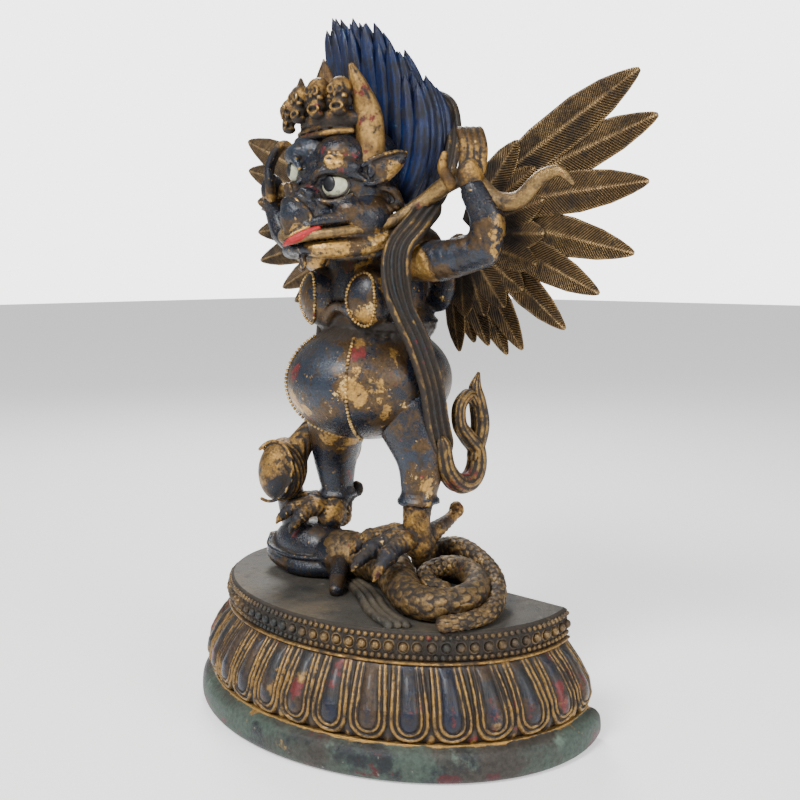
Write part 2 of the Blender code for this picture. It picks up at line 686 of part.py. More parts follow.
def make_wing(collection, name, side, tips, material):
    """A wing: long outer feathers, a row of coverts over their roots, and a seat plate."""
    blades = []
    for number, (root, tip, width) in enumerate(wing_plan(tips)):
        blades.append(feather(
            f"{name}_{number}", collection, root, tip, width, WING_LEAN, WING_LAYER_STEP * (1 + number % 2),
        ))
    for number in range(COVERT_FEATHERS):
        share = number / (COVERT_FEATHERS - 1)
        spread = math.radians(COVERT_TURNS[0] + (COVERT_TURNS[1] - COVERT_TURNS[0]) * share)
        root = (COVERT_ROOT[0] * UNIT, BASE_HEIGHT + COVERT_ROOT[1] * UNIT)
        reach = (COVERT_REACH[0] + (COVERT_REACH[1] - COVERT_REACH[0]) * share) * UNIT
        tip = (root[0] + reach * math.cos(spread), root[1] + reach * math.sin(spread))
        blades.append(feather(
            f"{name}_covert_{number}", collection, root, tip, COVERT_WIDTH * UNIT, 0.0, 0.0,
        ))
    plate = bpy.data.meshes.new(f"{name}_plate")
    work = bmesh.new()
    place = Matrix.Translation(at(SEAT_CENTRE[0], 0, SEAT_CENTRE[1]))
    place.translation.y = WING_SEAT_Y + SEAT_GAP + SEAT_PLATE_THICKNESS / 2
    place @= Matrix.Scale(SEAT_TALLNESS, 4, (0, 0, 1))
    bmesh.ops.create_cone(
        work, cap_ends=True, segments=16, radius1=SEAT_RADII[0] * UNIT, radius2=SEAT_RADII[1] * UNIT,
        depth=SEAT_PLATE_THICKNESS, matrix=place @ Matrix.Rotation(-math.pi / 2, 4, "X"),
    )
    bmesh.ops.recalc_face_normals(work, faces=work.faces)
    work.to_mesh(plate)
    work.free()
    wing = bpy.data.objects.new(name, plate)
    collection.objects.link(wing)
    join_by_union(wing, blades, "MANIFOLD")
    wing.data = outer_shell(wing.data, name)
    wing.data.transform(Matrix.Diagonal((side, 1, 1, 1)))
    if side < 0:
        wing.data.flip_normals()
    wing.data.materials.clear()
    wing.data.materials.append(material)
    return wing


def main():
    """Builds the base, the figure with the spirit, and both wings."""
    clear_scene()
    parts = new_collection("garuda_statue")
    cutters = new_collection("cutters")
    make_base(parts, metal(BASE_BRONZE))
    make_figure(parts, cutters, metal(BRONZE_GOLD))
    wing_metal = metal(WING_BRONZE)
    make_wing(parts, "left_wing", 1, LEFT_TIPS, wing_metal)
    make_wing(parts, "right_wing", -1, RIGHT_TIPS, wing_metal)


main()
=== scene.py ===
"""Looks of a garuda statue: worn lacquer and gilding over a lost-wax bronze, on its lotus base."""

import logging
import math
from dataclasses import dataclass, field
from enum import Enum
from functools import cache
from typing import Callable, Dict, List, Optional, Sequence, Tuple

import bpy
import numpy as np
from mathutils import Matrix, Vector


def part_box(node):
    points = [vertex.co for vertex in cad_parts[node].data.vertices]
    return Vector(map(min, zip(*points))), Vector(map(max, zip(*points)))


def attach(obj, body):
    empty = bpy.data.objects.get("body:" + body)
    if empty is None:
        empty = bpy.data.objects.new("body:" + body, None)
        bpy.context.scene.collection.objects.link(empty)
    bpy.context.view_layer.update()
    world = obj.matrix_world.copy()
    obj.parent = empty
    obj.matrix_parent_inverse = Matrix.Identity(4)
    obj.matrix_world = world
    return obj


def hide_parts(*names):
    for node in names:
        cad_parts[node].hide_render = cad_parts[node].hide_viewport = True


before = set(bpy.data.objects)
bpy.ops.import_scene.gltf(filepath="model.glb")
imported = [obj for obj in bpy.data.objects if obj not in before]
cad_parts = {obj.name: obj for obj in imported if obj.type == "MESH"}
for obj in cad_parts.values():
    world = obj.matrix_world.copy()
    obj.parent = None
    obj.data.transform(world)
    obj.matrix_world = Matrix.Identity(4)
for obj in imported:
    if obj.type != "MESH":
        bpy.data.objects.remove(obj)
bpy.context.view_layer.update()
log = logging.getLogger("garuda_statue")

Point = Tuple[float, float, float]
Colour = Tuple[float, float, float]

MM = 0.001
TABLE = float(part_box("lotus_base")[1][2])
BODY = "root"


class Side(Enum):
    """The figure's own left and right hands."""

    LEFT = 1
    RIGHT = -1


class Slot(Enum):
    """The record's material slots."""

    BASE = "base_bronze"
    FIGURE = "gilt_lacquer"
    WING = "wing_bronze"


def lifted(points: Sequence[Sequence[float]]) -> np.ndarray:
    """Turns carving units (millimetres, height above the table) into metres.

    Args:
        points: rows of x, y and height.

    Returns:
        The same points as an (n, 3) array in the frame's metres.
    """
    made = np.array([p[:3] for p in points], dtype=float) * MM
    made[:, 2] += TABLE
    return made


def smooth_path(points: np.ndarray, steps: int) -> np.ndarray:
    """Runs a Catmull-Rom curve through every row of an array.

    Args:
        points: control rows, of any width.
        steps: samples between two neighbouring rows.

    Returns:
        The sampled rows, ending on the last control row.
    """
    padded = np.vstack([2 * points[0] - points[1], points, 2 * points[-1] - points[-2]])
    t = (np.arange(steps) / steps)[:, None]
    runs = []
    for i in range(1, len(padded) - 2):
        a, b, c, d = padded[i - 1], padded[i], padded[i + 1], padded[i + 2]
        runs.append(0.5 * (2 * b + (c - a) * t + (2 * a - 5 * b + 4 * c - d) * t**2
                           + (3 * b - a - 3 * c + d) * t**3))
    runs.append(padded[-2][None])
    return np.vstack(runs)


def unit(rows: np.ndarray) -> np.ndarray:
    """Scales each row to length one."""
    return rows / (np.linalg.norm(rows, axis=-1, keepdims=True) + 1e-12)


@dataclass
class Skin:
    """Numpy meshes gathered into one object, with float attributes on their points."""

    name: str
    points: List[np.ndarray] = field(default_factory=list)
    faces: List[np.ndarray] = field(default_factory=list)
    marks: List[Dict[str, np.ndarray]] = field(default_factory=list)
    count: int = 0

    def add(self, points: np.ndarray, faces: np.ndarray, **marks: np.ndarray) -> None:
        """Adds points in metres with quads (a triangle repeats its last corner)."""
        self.points.append(points)
        self.faces.append(faces + self.count)
        self.marks.append({key: np.broadcast_to(value, (len(points),)) for key, value in marks.items()})
        self.count += len(points)

    def grid(self, rows: np.ndarray, closed: bool = True, poles: bool = True, **marks: np.ndarray) -> None:
        """Adds a grid of rings.

        Args:
            rows: an array of shape (rings, around, 3) in metres.
            closed: whether each ring runs back to its own start.
            poles: whether a point closes the first and the last ring.
            marks: attributes of shape (rings, around) or single values.
        """
        n, m = rows.shape[:2]
        i, j = np.meshgrid(np.arange(n - 1), np.arange(m if closed else m - 1), indexing="ij")
        k = (j + 1) % m
        quads = np.stack([i * m + j, i * m + k, (i + 1) * m + k, (i + 1) * m + j], -1).reshape(-1, 4)
        points = rows.reshape(-1, 3)
        values = {key: np.broadcast_to(value, (n, m)).reshape(-1) for key, value in marks.items()}
        if poles:
            points = np.vstack([points, rows[0].mean(0), rows[-1].mean(0)])
            values = {key: np.append(value, [value[:m].mean(), value[-m:].mean()])
                      for key, value in values.items()}
            j = np.arange(m)
            k = (j + 1) % m
            first = np.stack([np.full(m, n * m), k, j, j], -1)
            last = np.stack([np.full(m, n * m + 1), (n - 1) * m + j, (n - 1) * m + k, (n - 1) * m + k], -1)
            quads = np.vstack([quads, first, last])
        self.add(points, quads, **values)

    def make(self, inside_out: bool = False) -> bpy.types.Object:
        """Makes the object, smooth shaded, and links it to the scene."""
        points = np.vstack(self.points)
        faces = np.vstack(self.faces)
        if inside_out:
            faces = faces[:, ::-1]
        triangle = faces[:, 3] == faces[:, 2]
        triangle |= faces[:, 0] == faces[:, 1]
        loops, starts, at = [], [], 0
        for group, size in ((faces[~triangle], 4), (triangles_of(faces[triangle]), 3)):
            loops.append(group.reshape(-1))
            starts.append(at + np.arange(len(group)) * size)
            at += len(group) * size
        loop = np.concatenate(loops).astype(np.int32)
        start = np.concatenate(starts).astype(np.int32)
        mesh = bpy.data.meshes.new(self.name)
        mesh.vertices.add(len(points))
        mesh.vertices.foreach_set("co", points.astype(np.float32).reshape(-1))
        mesh.loops.add(len(loop))
        mesh.loops.foreach_set("vertex_index", loop)
        mesh.polygons.add(len(start))
        mesh.polygons.foreach_set("loop_start", start)
        mesh.update(calc_edges=True)
        mesh.validate()
        mesh.shade_smooth()
        for key in sorted({key for marks in self.marks for key in marks}):
            layer = mesh.attributes.new(key, "FLOAT", "POINT")
            values = [marks.get(key, np.zeros(len(part))) for marks, part in zip(self.marks, self.points)]
            layer.data.foreach_set("value", np.concatenate(values).astype(np.float32))
        made = bpy.data.objects.new(self.name, mesh)
        bpy.context.scene.collection.objects.link(made)
        return made


def triangles_of(faces: np.ndarray) -> np.ndarray:
    """Drops the repeated corner of quads that stand for triangles."""
    if not len(faces):
        return np.zeros((0, 3), dtype=int)
    first = faces[:, 0] == faces[:, 1]
    return np.where(first[:, None], faces[:, 1:], faces[:, :3])


def tube_rings(
    points: Sequence[Sequence[float]],
    radii: Sequence[float],
    around: int = 16,
    steps: int = 6,
    flat: float = 1.0,
    side: Optional[Sequence[float]] = None,
    rounded: bool = True,
) -> Tuple[np.ndarray, np.ndarray, np.ndarray, np.ndarray]:
    """Rings of a tapering limb along a smooth path.

    Args:
        points: the path in carving units.
        radii: a radius in millimetres at each point.
        around: points round each ring.
        steps: rings between two path points.
        flat: thickness of the section as a share of its width.
        side: the direction in which a flat section is wide.
        rounded: whether the ends are domes.

    Returns:
        Ring points, ring centres, distance along the path in metres, and the angle round it.
    """
    path = np.hstack([lifted(points), np.array(radii, dtype=float)[:, None] * MM])
    path = smooth_path(path, steps)
    spine, radius = path[:, :3], np.maximum(path[:, 3], 0.05 * MM)
    if rounded:
        dome = np.sin(np.linspace(0.12, 1.0, 4)[:-1] * math.pi / 2)
        back = np.cos(np.linspace(0.12, 1.0, 4)[:-1] * math.pi / 2)
        start = unit(spine[0] - spine[1])
        end = unit(spine[-1] - spine[-2])
        spine = np.vstack([spine[0] + start * radius[0] * back[:, None], spine,
                           (spine[-1] + end * radius[-1] * back[:, None])[::-1]])
        radius = np.concatenate([radius[0] * dome, radius, (radius[-1] * dome)[::-1]])
    along = unit(np.gradient(spine, axis=0))
    wide = np.empty_like(along)
    hint = np.array(side if side is not None else (0.31, 0.17, 0.93), dtype=float)
    for i, tangent in enumerate(along):
        if side is not None:
            hint = np.array(side, dtype=float)
        across = hint - tangent * hint.dot(tangent)
        wide[i] = across / (np.linalg.norm(across) + 1e-12)
        hint = wide[i]
    thick = np.cross(along, wide)
    turn = np.arange(around) / around * 2 * math.pi
    ring = (wide[:, None] * np.cos(turn)[None, :, None]
            + thick[:, None] * np.sin(turn)[None, :, None] * flat)
    rows = spine[:, None] + ring * radius[:, None, None]
    run = np.concatenate([[0.0], np.cumsum(np.linalg.norm(np.diff(spine, axis=0), axis=1))])
    return rows, spine, run, turn


class Clay:
    """Closed shapes pressed together and remeshed into one smooth skin."""

    def __init__(self, name: str, grain: float) -> None:
        """Starts an empty lump.

        Args:
            name: the finished piece's name.
            grain: the remesh's voxel size in millimetres.
        """
        self.skin = Skin(name)
        self.grain = grain * MM

    def ball(self, centre: Point, radii: Sequence[float], turn: Point = (0, 0, 0), around: int = 28) -> None:
        """Adds an ellipsoid, in carving units, turned by degrees about X, Y and Z."""
        up = np.linspace(0.04, 0.96, around // 2) * math.pi
        out = np.arange(around) / around * 2 * math.pi
        ball = np.stack([np.sin(up)[:, None] * np.cos(out), np.sin(up)[:, None] * np.sin(out),
                         np.broadcast_to(np.cos(up)[:, None], (len(up), around))], -1)
        x, y, z = (Matrix.Rotation(math.radians(angle), 3, axis) for angle, axis in zip(turn, "XYZ"))
        spin = z @ y @ x
        rows = (ball * np.array(radii) * MM) @ np.array(spin).T + lifted([centre])[0]
        self.skin.grid(rows[::-1])

    def limb(self, points: Sequence[Sequence[float]], radii: Sequence[float], **shape) -> None:
        """Adds a tapering limb, with the arguments of tube_rings."""
        self.skin.grid(tube_rings(points, radii, **shape)[0])

    def fire(self, soften: int = 4) -> bpy.types.Object:
        """Remeshes the shapes into one closed skin.

        Args:
            soften: rounds of smoothing after the remesh.

        Returns:
            The finished object, without modifiers.
        """
        made = self.skin.make()
        remesh = made.modifiers.new("press", "REMESH")
        remesh.mode = "VOXEL"
        remesh.voxel_size = self.grain
        remesh.use_smooth_shade = True
        smooth = made.modifiers.new("soften", "SMOOTH")
        smooth.factor = 0.5
        smooth.iterations = soften
        bake(made)
        return made


def bake(made: bpy.types.Object) -> None:
    """Turns an object's modifiers into its own mesh."""
    graph = bpy.context.evaluated_depsgraph_get()
    graph.update()
    mesh = bpy.data.meshes.new_from_object(made.evaluated_get(graph))
    made.modifiers.clear()
    made.data = mesh
    mesh.shade_smooth()


def vertices(made: bpy.types.Object) -> Tuple[np.ndarray, np.ndarray]:
    """Reads an object's points and point normals."""
    mesh = made.data
    co = np.empty(len(mesh.vertices) * 3, dtype=np.float32)
    mesh.vertices.foreach_get("co", co)
    normal = np.empty(len(mesh.vertices) * 3, dtype=np.float32)
    mesh.vertex_normals.foreach_get("vector", normal)
    return co.reshape(-1, 3).astype(float), normal.reshape(-1, 3).astype(float)


def displace(made: bpy.types.Object, height: Callable[[np.ndarray, np.ndarray], np.ndarray]) -> None:
    """Moves a skin along its normals.

    Args:
        made: the object.
        height: gives millimetres for arrays of points (millimetres above the table) and normals.
    """
    co, normal = vertices(made)
    local = (co - np.array([0, 0, TABLE])) / MM
    co += normal * height(local, normal)[:, None] * MM
    made.data.vertices.foreach_set("co", co.astype(np.float32).reshape(-1))
    made.data.update()


def mark(made: bpy.types.Object, name: str, value: Callable[[np.ndarray, np.ndarray], np.ndarray]) -> None:
    """Writes a float attribute worked out from points (in carving units) and normals."""
    co, normal = vertices(made)
    local = (co - np.array([0, 0, TABLE])) / MM
    layer = made.data.attributes.new(name, "FLOAT", "POINT")
    layer.data.foreach_set("value", np.clip(value(local, normal), 0, 1).astype(np.float32))


def hump(distance: np.ndarray, width: float) -> np.ndarray:
    """A smooth bump: one at distance zero, nothing beyond the width."""
    return np.clip(1 - (distance / width) ** 2, 0, 1) ** 2


def near(points: np.ndarray, centre: Point) -> np.ndarray:
    """Distances from a point, in carving units."""
    return np.linalg.norm(points - np.array(centre, dtype=float), axis=1)


def paint(made: bpy.types.Object, name: str, *spots: Tuple[float, Point, float], base: float = 0.0) -> None:
    """Writes an attribute that is strong at a few places.

    Args:
        made: the object.
        name: the attribute's name.
        spots: each place's strength, its centre in carving units, and its width.
        base: the value everywhere.
    """
    mark(made, name, lambda p, n: sum(
        (strength * hump(near(p, centre), width) for strength, centre, width in spots),
        np.full(len(p), base)))


def flip(s: float, *points: Sequence[float]) -> List[Tuple[float, ...]]:
    """The same points with x times s, which is minus one on the figure's right."""
    return [(s * point[0], *point[1:]) for point in points]


def arc(start: float, end: float, count: int,
        place: Callable[[float, float], Tuple[float, ...]]) -> List[Tuple[float, ...]]:
    """Points from an angle to another, placed by the angle's cosine and sine."""
    return [tuple(place(math.cos(a), math.sin(a))) for a in np.linspace(start, end, count)]


def shade_hollows_light_ridges(made: bpy.types.Object, rounds: int = 3) -> None:
    """Writes where a skin is hollow and where it stands out, from its own curvature: the hollows take painted
    shade, and the raised edges more gold, partly rubbed gilding and partly painted highlight.

    Args:
        made: the object.
        rounds: how often the curvature is averaged over the neighbouring points.
    """
    co, normal = vertices(made)
    co = co / MM
    ends = np.empty(len(made.data.edges) * 2, dtype=np.int32)
    made.data.edges.foreach_get("vertices", ends)
    first, second = ends[::2], ends[1::2]
    count = np.bincount(ends, minlength=len(co)).astype(float)

    def gathered(values: np.ndarray) -> np.ndarray:
        near_by = np.bincount(first, values[second], len(co)) + np.bincount(second, values[first], len(co))
        return near_by / count

    reach = np.linalg.norm(co[first] - co[second], axis=1)
    span = (np.bincount(first, reach, len(co)) + np.bincount(second, reach, len(co))) / count
    offset = np.stack([gathered(co[:, axis]) - co[:, axis] for axis in range(3)], axis=1)
    bend = np.sum(offset * normal, axis=1) * 2 / np.maximum(span, 0.15) ** 2
    for _ in range(rounds):
        bend = 0.5 * bend + 0.5 * gathered(bend)
    # Hollow carries painted shade; ridge pulls gold onto raised edges, rubbed gilding with a painted
    # highlight.
    for name, value in (("hollow", bend * 1.6 + 0.04), ("ridge", -bend * 1.1 - 0.22)):
        layer = made.data.attributes.new(name, "FLOAT", "POINT")
        layer.data.foreach_set("value", np.clip(value, 0, 1).astype(np.float32))


def count_triangles(made: bpy.types.Object) -> int:
    """Counts the triangles of an object's own mesh."""
    made.data.calc_loop_triangles()
    return len(made.data.loop_triangles)


def thin(made: bpy.types.Object, large: int = 20000, share: float = 0.5) -> None:
    """Joins the flattest faces of a large piece.

    Args:
        made: the object.
        large: the number of triangles up to which a piece stays as it is.
        share: the part of its triangles that a larger piece keeps.
    """
    if count_triangles(made) > large:
        made.modifiers.new("thin", "DECIMATE").ratio = share
        bake(made)


def plug(tree: bpy.types.NodeTree, node: bpy.types.Node, inputs: Dict) -> None:
    """Gives a node's inputs, by name or number, a value or another node's output."""
    for key, value in inputs.items():
        if isinstance(value, bpy.types.NodeSocket):
            tree.links.new(value, node.inputs[key])
        else:
            node.inputs[key].default_value = value


def add_node(tree: bpy.types.NodeTree, kind: str, inputs: Optional[Dict] = None,
             **settings) -> bpy.types.Node:
    """Adds a node.

    Args:
        tree: the node tree.
        kind: the node's type.
        inputs: a value or another node's output for its inputs.
        settings: the node's own properties.
    """
    made = tree.nodes.new(kind)
    for name, value in settings.items():
        setattr(made, name, value)
    plug(tree, made, inputs or {})
    return made


def maths(tree: bpy.types.NodeTree, operation: str, *values) -> bpy.types.NodeSocket:
    """The result of a Math node on numbers or sockets."""
    return add_node(tree, "ShaderNodeMath", dict(enumerate(values)), operation=operation).outputs[0]


def noise(tree: bpy.types.NodeTree, place, scale, detail, roughness: float = 0.5) -> bpy.types.NodeSocket:
    """The value of a Noise Texture node."""
    inputs = {"Vector": place, "Scale": scale, "Detail": detail, "Roughness": roughness}
    return add_node(tree, "ShaderNodeTexNoise", inputs).outputs["Fac"]


def ramp(tree: bpy.types.NodeTree, value, low, high) -> bpy.types.NodeSocket:
    """A soft step from nothing at low to one at high."""
    inputs = {"Value": value, "From Min": low, "From Max": high}
    return add_node(tree, "ShaderNodeMapRange", inputs, interpolation_type="SMOOTHSTEP").outputs["Result"]


def constant(tree: bpy.types.NodeTree, value) -> bpy.types.NodeSocket:
    """A colour or a number as a node."""
    coloured = isinstance(value, tuple)
    node = tree.nodes.new("ShaderNodeRGB" if coloured else "ShaderNodeValue")
    node.outputs[0].default_value = (*value, 1.0) if coloured else value
    return node.outputs[0]


def blend(tree: bpy.types.NodeTree, mask, low, high, kind: str) -> bpy.types.NodeSocket:
    """Mixes two sockets of a kind, RGBA or FLOAT, by a mask."""
    a, b, out = {"RGBA": (6, 7, 2), "FLOAT": (2, 3, 0)}[kind]
    return add_node(tree, "ShaderNodeMix", {0: mask, a: low, b: high}, data_type=kind).outputs[out]


def covered(tree: bpy.types.NodeTree, mask, below: Sequence, above: Sequence) -> List[bpy.types.NodeSocket]:
    """Colour, roughness and metal under a coat of the values above, by a mask."""
    return [blend(tree, mask, low, constant(tree, high), kind)
            for low, high, kind in zip(below, above, ("RGBA", "FLOAT", "FLOAT"))]


def new_group(name: str, inputs: Sequence[str], result: str, kinds: Dict[str, str]):
    """Starts a shader node group.

    Args:
        name: the group's name.
        inputs: its inputs' names.
        result: its output's name.
        kinds: the type of each socket that isn't a number.

    Returns:
        The tree, its inputs by name, and its output.
    """
    tree = bpy.data.node_groups.new(name, "ShaderNodeTree")
    for keys, way in ((inputs, "INPUT"), ((result,), "OUTPUT")):
        for key in keys:
            kind = f"NodeSocket{kinds.get(key, 'Float')}"
            tree.interface.new_socket(key, in_out=way, socket_type=kind)
    return tree, tree.nodes.new("NodeGroupInput").outputs, tree.nodes.new("NodeGroupOutput").inputs[result]


@cache
def patch_group() -> bpy.types.NodeTree:
    """A mask of patches with torn edges: flaked coats, and the patches of painted highlight, sheen and shade.
    """
    names = ("Place", "Scale", "Level", "Soft", "Detail", "Pull", "Shift")
    tree, entry, leave = new_group("flaked_patches", names, "Mask", {"Place": "Vector"})
    place = add_node(tree, "ShaderNodeVectorMath", {0: entry["Place"], 1: entry["Shift"]}, operation="ADD")
    cloud = noise(tree, place.outputs[0], entry["Scale"], entry["Detail"], 0.62)
    low = maths(tree, "SUBTRACT", entry["Level"], entry["Soft"])
    high = maths(tree, "ADD", entry["Level"], entry["Soft"])
    tree.links.new(ramp(tree, maths(tree, "ADD", cloud, entry["Pull"]), low, high), leave)
    return tree


@cache
def mottle_group() -> bpy.types.NodeTree:
    """Varies a colour's brightness in small clouds."""
    tree, entry, leave = new_group("mottle", ("Place", "Colour", "Scale", "Amount"), "Colour",
                                   {"Place": "Vector", "Colour": "Color"})
    cloud = maths(tree, "SUBTRACT", noise(tree, entry["Place"], entry["Scale"], 4.0), 0.5)
    value = maths(tree, "MULTIPLY_ADD", maths(tree, "MULTIPLY", cloud, entry["Amount"]), 4.0, 1.0)
    tint = add_node(tree, "ShaderNodeHueSaturation", {"Value": value, "Color": entry["Colour"]})
    tree.links.new(tint.outputs["Color"], leave)
    return tree


@cache
def dust_group() -> bpy.types.NodeTree:
    """A mask of dust that settles on what faces up."""
    tree, entry, leave = new_group("settled_dust", ("Place", "Amount"), "Mask", {"Place": "Vector"})
    facing = add_node(tree, "ShaderNodeNewGeometry").outputs["Normal"]
    up = add_node(tree, "ShaderNodeSeparateXYZ", {0: facing}).outputs["Z"]
    film = ramp(tree, maths(tree, "ADD", up, noise(tree, entry["Place"], 90.0, 6.0)), 0.9, 1.7)
    tree.links.new(maths(tree, "MULTIPLY", film, entry["Amount"]), leave)
    return tree


class Beads:
    """Geometry Nodes that put a round bead on each point of a mesh, sized by an attribute."""

    @staticmethod
    @cache
    def nodes() -> bpy.types.NodeTree:
        """Builds the shared node tree once."""
        tree = bpy.data.node_groups.new("bead_run", "GeometryNodeTree")
        for name, way, kind in (("Geometry", "INPUT", "Geometry"), ("Segments", "INPUT", "Int"),
                                ("Material", "INPUT", "Material"), ("Geometry", "OUTPUT", "Geometry")):
            tree.interface.new_socket(name, in_out=way, socket_type=f"NodeSocket{kind}")
        entry = tree.nodes.new("NodeGroupInput").outputs
        leave = tree.nodes.new("NodeGroupOutput").inputs
        rings = maths(tree, "DIVIDE", entry["Segments"], 2.0)
        ball = add_node(tree, "GeometryNodeMeshUVSphere",
                        {"Segments": entry["Segments"], "Rings": rings, "Radius": 1.0})
        size = add_node(tree, "GeometryNodeInputNamedAttribute", {"Name": "size"}, data_type="FLOAT")
        spread = add_node(tree, "GeometryNodeInstanceOnPoints", {
            "Points": entry["Geometry"], "Instance": ball.outputs["Mesh"],
            "Scale": size.outputs["Attribute"]})
        real = add_node(tree, "GeometryNodeRealizeInstances", {"Geometry": spread.outputs["Instances"]})
        shade = add_node(tree, "GeometryNodeSetShadeSmooth", {"Geometry": real.outputs["Geometry"]})
        coat = add_node(tree, "GeometryNodeSetMaterial",
                        {"Geometry": shade.outputs["Geometry"], "Material": entry["Material"]})
        tree.links.new(coat.outputs["Geometry"], leave["Geometry"])
        return tree

    @classmethod
    def string(cls, name: str, points: np.ndarray, sizes: np.ndarray, material: bpy.types.Material,
               segments: int = 12) -> bpy.types.Object:
        """Makes a bead on each point.

        Args:
            name: the piece's name.
            points: bead centres in metres.
            sizes: bead radii in metres.
            material: the beads' finish.
            segments: faces round a bead.

        Returns:
            One plain mesh object with every bead.
        """
        mesh = bpy.data.meshes.new(name)
        mesh.from_pydata([tuple(p) for p in points], [], [])
        layer = mesh.attributes.new("size", "FLOAT", "POINT")
        layer.data.foreach_set("value", np.asarray(sizes, dtype=np.float32))
        made = bpy.data.objects.new(name, mesh)
        bpy.context.scene.collection.objects.link(made)
        tree = cls.nodes()
        run = made.modifiers.new("beads", "NODES")
        run.node_group = tree
        ids = {item.name: item.identifier for item in tree.interface.items_tree if item.in_out == "INPUT"}
        run[ids["Segments"]] = segments
        run[ids["Material"]] = material
        bake(made)
        return made


def evenly(path: np.ndarray, pitch: float) -> np.ndarray:
    """Points at equal distances along a path, both in metres."""
    run = np.concatenate([[0.0], np.cumsum(np.linalg.norm(np.diff(path, axis=0), axis=1))])
    count = max(2, int(round(run[-1] / pitch)))
    where = (np.arange(count) + 0.5) / count * run[-1]
    return np.stack([np.interp(where, run, path[:, i]) for i in range(3)], -1)


@dataclass(frozen=True)
class Layer:
    """One coat over the metal: where it lies and how it looks. Some coats are painted highlight, sheen and
    shade.

    The coat lies where noise at the given scale, plus the attribute's pull, passes the level.
    """

    colour: Colour
    roughness: float
    metallic: float
    scale: float
    level: float
    soft: float = 0.04
    pulls: Dict[str, float] = field(default_factory=dict)
    detail: float = 6.0
    shift: float = 0.0


@dataclass(frozen=True)
class Finish:
    """A worn finish: a ground and the coats that are left on it, among them painted highlight, sheen and
    shade.
    """

    name: str
    ground: Colour
    roughness: float
    metallic: float
    coats: Tuple[Layer, ...] = ()
    mottle: float = 0.25
    mottle_scale: float = 400.0
    bump: float = 0.35
    bump_scale: float = 900.0
    dust: float = 0.0
    coat: float = 0.0
    barbed: bool = False

    def build(self) -> bpy.types.Material:
        """Builds the node material, or returns it if it is there already."""
        known = bpy.data.materials.get(self.name)
        if known is not None:
            return known
        made = bpy.data.materials.new(self.name)
        made.use_nodes = True
        tree = made.node_tree
        place = add_node(tree, "ShaderNodeTexCoord").outputs["Object"]
        look = [constant(tree, value) for value in (self.ground, self.roughness, self.metallic)]
        for coat in self.coats:
            own = (coat.colour, coat.roughness, coat.metallic)
            look = covered(tree, self.mask(tree, coat, place), look, own)
        grain = add_node(tree, "ShaderNodeBump", {
            "Height": noise(tree, place, self.bump_scale, 5.0, 0.7), "Strength": self.bump,
            "Distance": 0.9 * MM})
        if self.barbed:
            wave = self.barbs(tree)
            # Painted shade: the furrows between the barbs are darkened.
            groove = add_node(tree, "ShaderNodeMapRange",
                              {"Value": wave, "From Min": -0.1, "From Max": -0.95, "To Max": 0.75})
            look[0] = blend(tree, groove.outputs["Result"], look[0], constant(tree, SHADE_UMBER), "RGBA")
            grain = add_node(tree, "ShaderNodeBump", {
                "Height": wave, "Normal": grain.outputs["Normal"], "Strength": 1.0, "Distance": 0.5 * MM})
        grained = add_node(tree, "ShaderNodeGroup", {
            "Place": place, "Colour": look[0], "Scale": self.mottle_scale, "Amount": self.mottle},
            node_tree=mottle_group())
        look[0] = grained.outputs["Colour"]
        if self.dust:
            film = add_node(tree, "ShaderNodeGroup", {"Place": place, "Amount": self.dust},
                            node_tree=dust_group())
            look = covered(tree, film.outputs["Mask"], look, (DUST, 0.8, 0.1))
        plug(tree, tree.nodes["Principled BSDF"], {
            "Base Color": look[0], "Roughness": look[1], "Metallic": look[2],
            "Normal": grain.outputs["Normal"],
            "Specular IOR Level": 0.4, "Coat Weight": self.coat, "Coat Roughness": 0.25})
        return made

    @staticmethod
    def barbs(tree: bpy.types.NodeTree) -> bpy.types.NodeSocket:
        """Fine furrows that follow the piece's own barb attribute."""
        run, spread = (add_node(tree, "ShaderNodeAttribute", attribute_name=name).outputs["Fac"]
                       for name in ("barb", "barbed"))
        return maths(tree, "MULTIPLY", maths(tree, "SINE", maths(tree, "MULTIPLY", run, 2 * math.pi)), spread)

    @staticmethod
    def mask(tree: bpy.types.NodeTree, coat: Layer, place: bpy.types.NodeSocket) -> bpy.types.NodeSocket:
        """The mask of one coat: patchy noise pulled by the piece's attributes."""
        pull = 0.0
        for name, weight in coat.pulls.items():
            value = add_node(tree, "ShaderNodeAttribute", attribute_name=name).outputs["Fac"]
            pull = maths(tree, "MULTIPLY_ADD", value, weight, pull)
        patch = add_node(tree, "ShaderNodeGroup", {
            "Place": place, "Scale": coat.scale, "Level": coat.level, "Soft": coat.soft,
            "Detail": coat.detail, "Pull": pull, "Shift": coat.shift}, node_tree=patch_group())
        return patch.outputs["Mask"]


@dataclass
class Statue:
    """Every finished piece, with its node and finish."""

    pieces: List[bpy.types.Object] = field(default_factory=list)

    def add(self, made: bpy.types.Object, node: str, slot: Slot, finish: Finish) -> bpy.types.Object:
        """Paints a piece, ties it to its node and keeps it.

        Args:
            made: the finished mesh object.
            node: the CAD node that it stands for.
            slot: the record's material slot; not used.
            finish: its look.

        Returns:
            The same object.
        """
        shade_hollows_light_ridges(made)
        if not finish.barbed:
            thin(made)
        made.data.materials.clear()
        made.data.materials.append(finish.build())
        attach(made, BODY)
        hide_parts(node)
        self.pieces.append(made)
        log.info("%s: %d triangles, %s", made.name, count_triangles(made), finish.name)
        return made


GOLD = (0.36, 0.205, 0.055)
# Painted highlight: pale gold spots, gathered on raised edges and gilt parts.
HIGHLIGHT_GOLD = (0.58, 0.38, 0.14)
OLD_BRONZE = (0.072, 0.042, 0.018)
CINNABAR = (0.115, 0.005, 0.006)
LACQUER = (0.0045, 0.0065, 0.013)
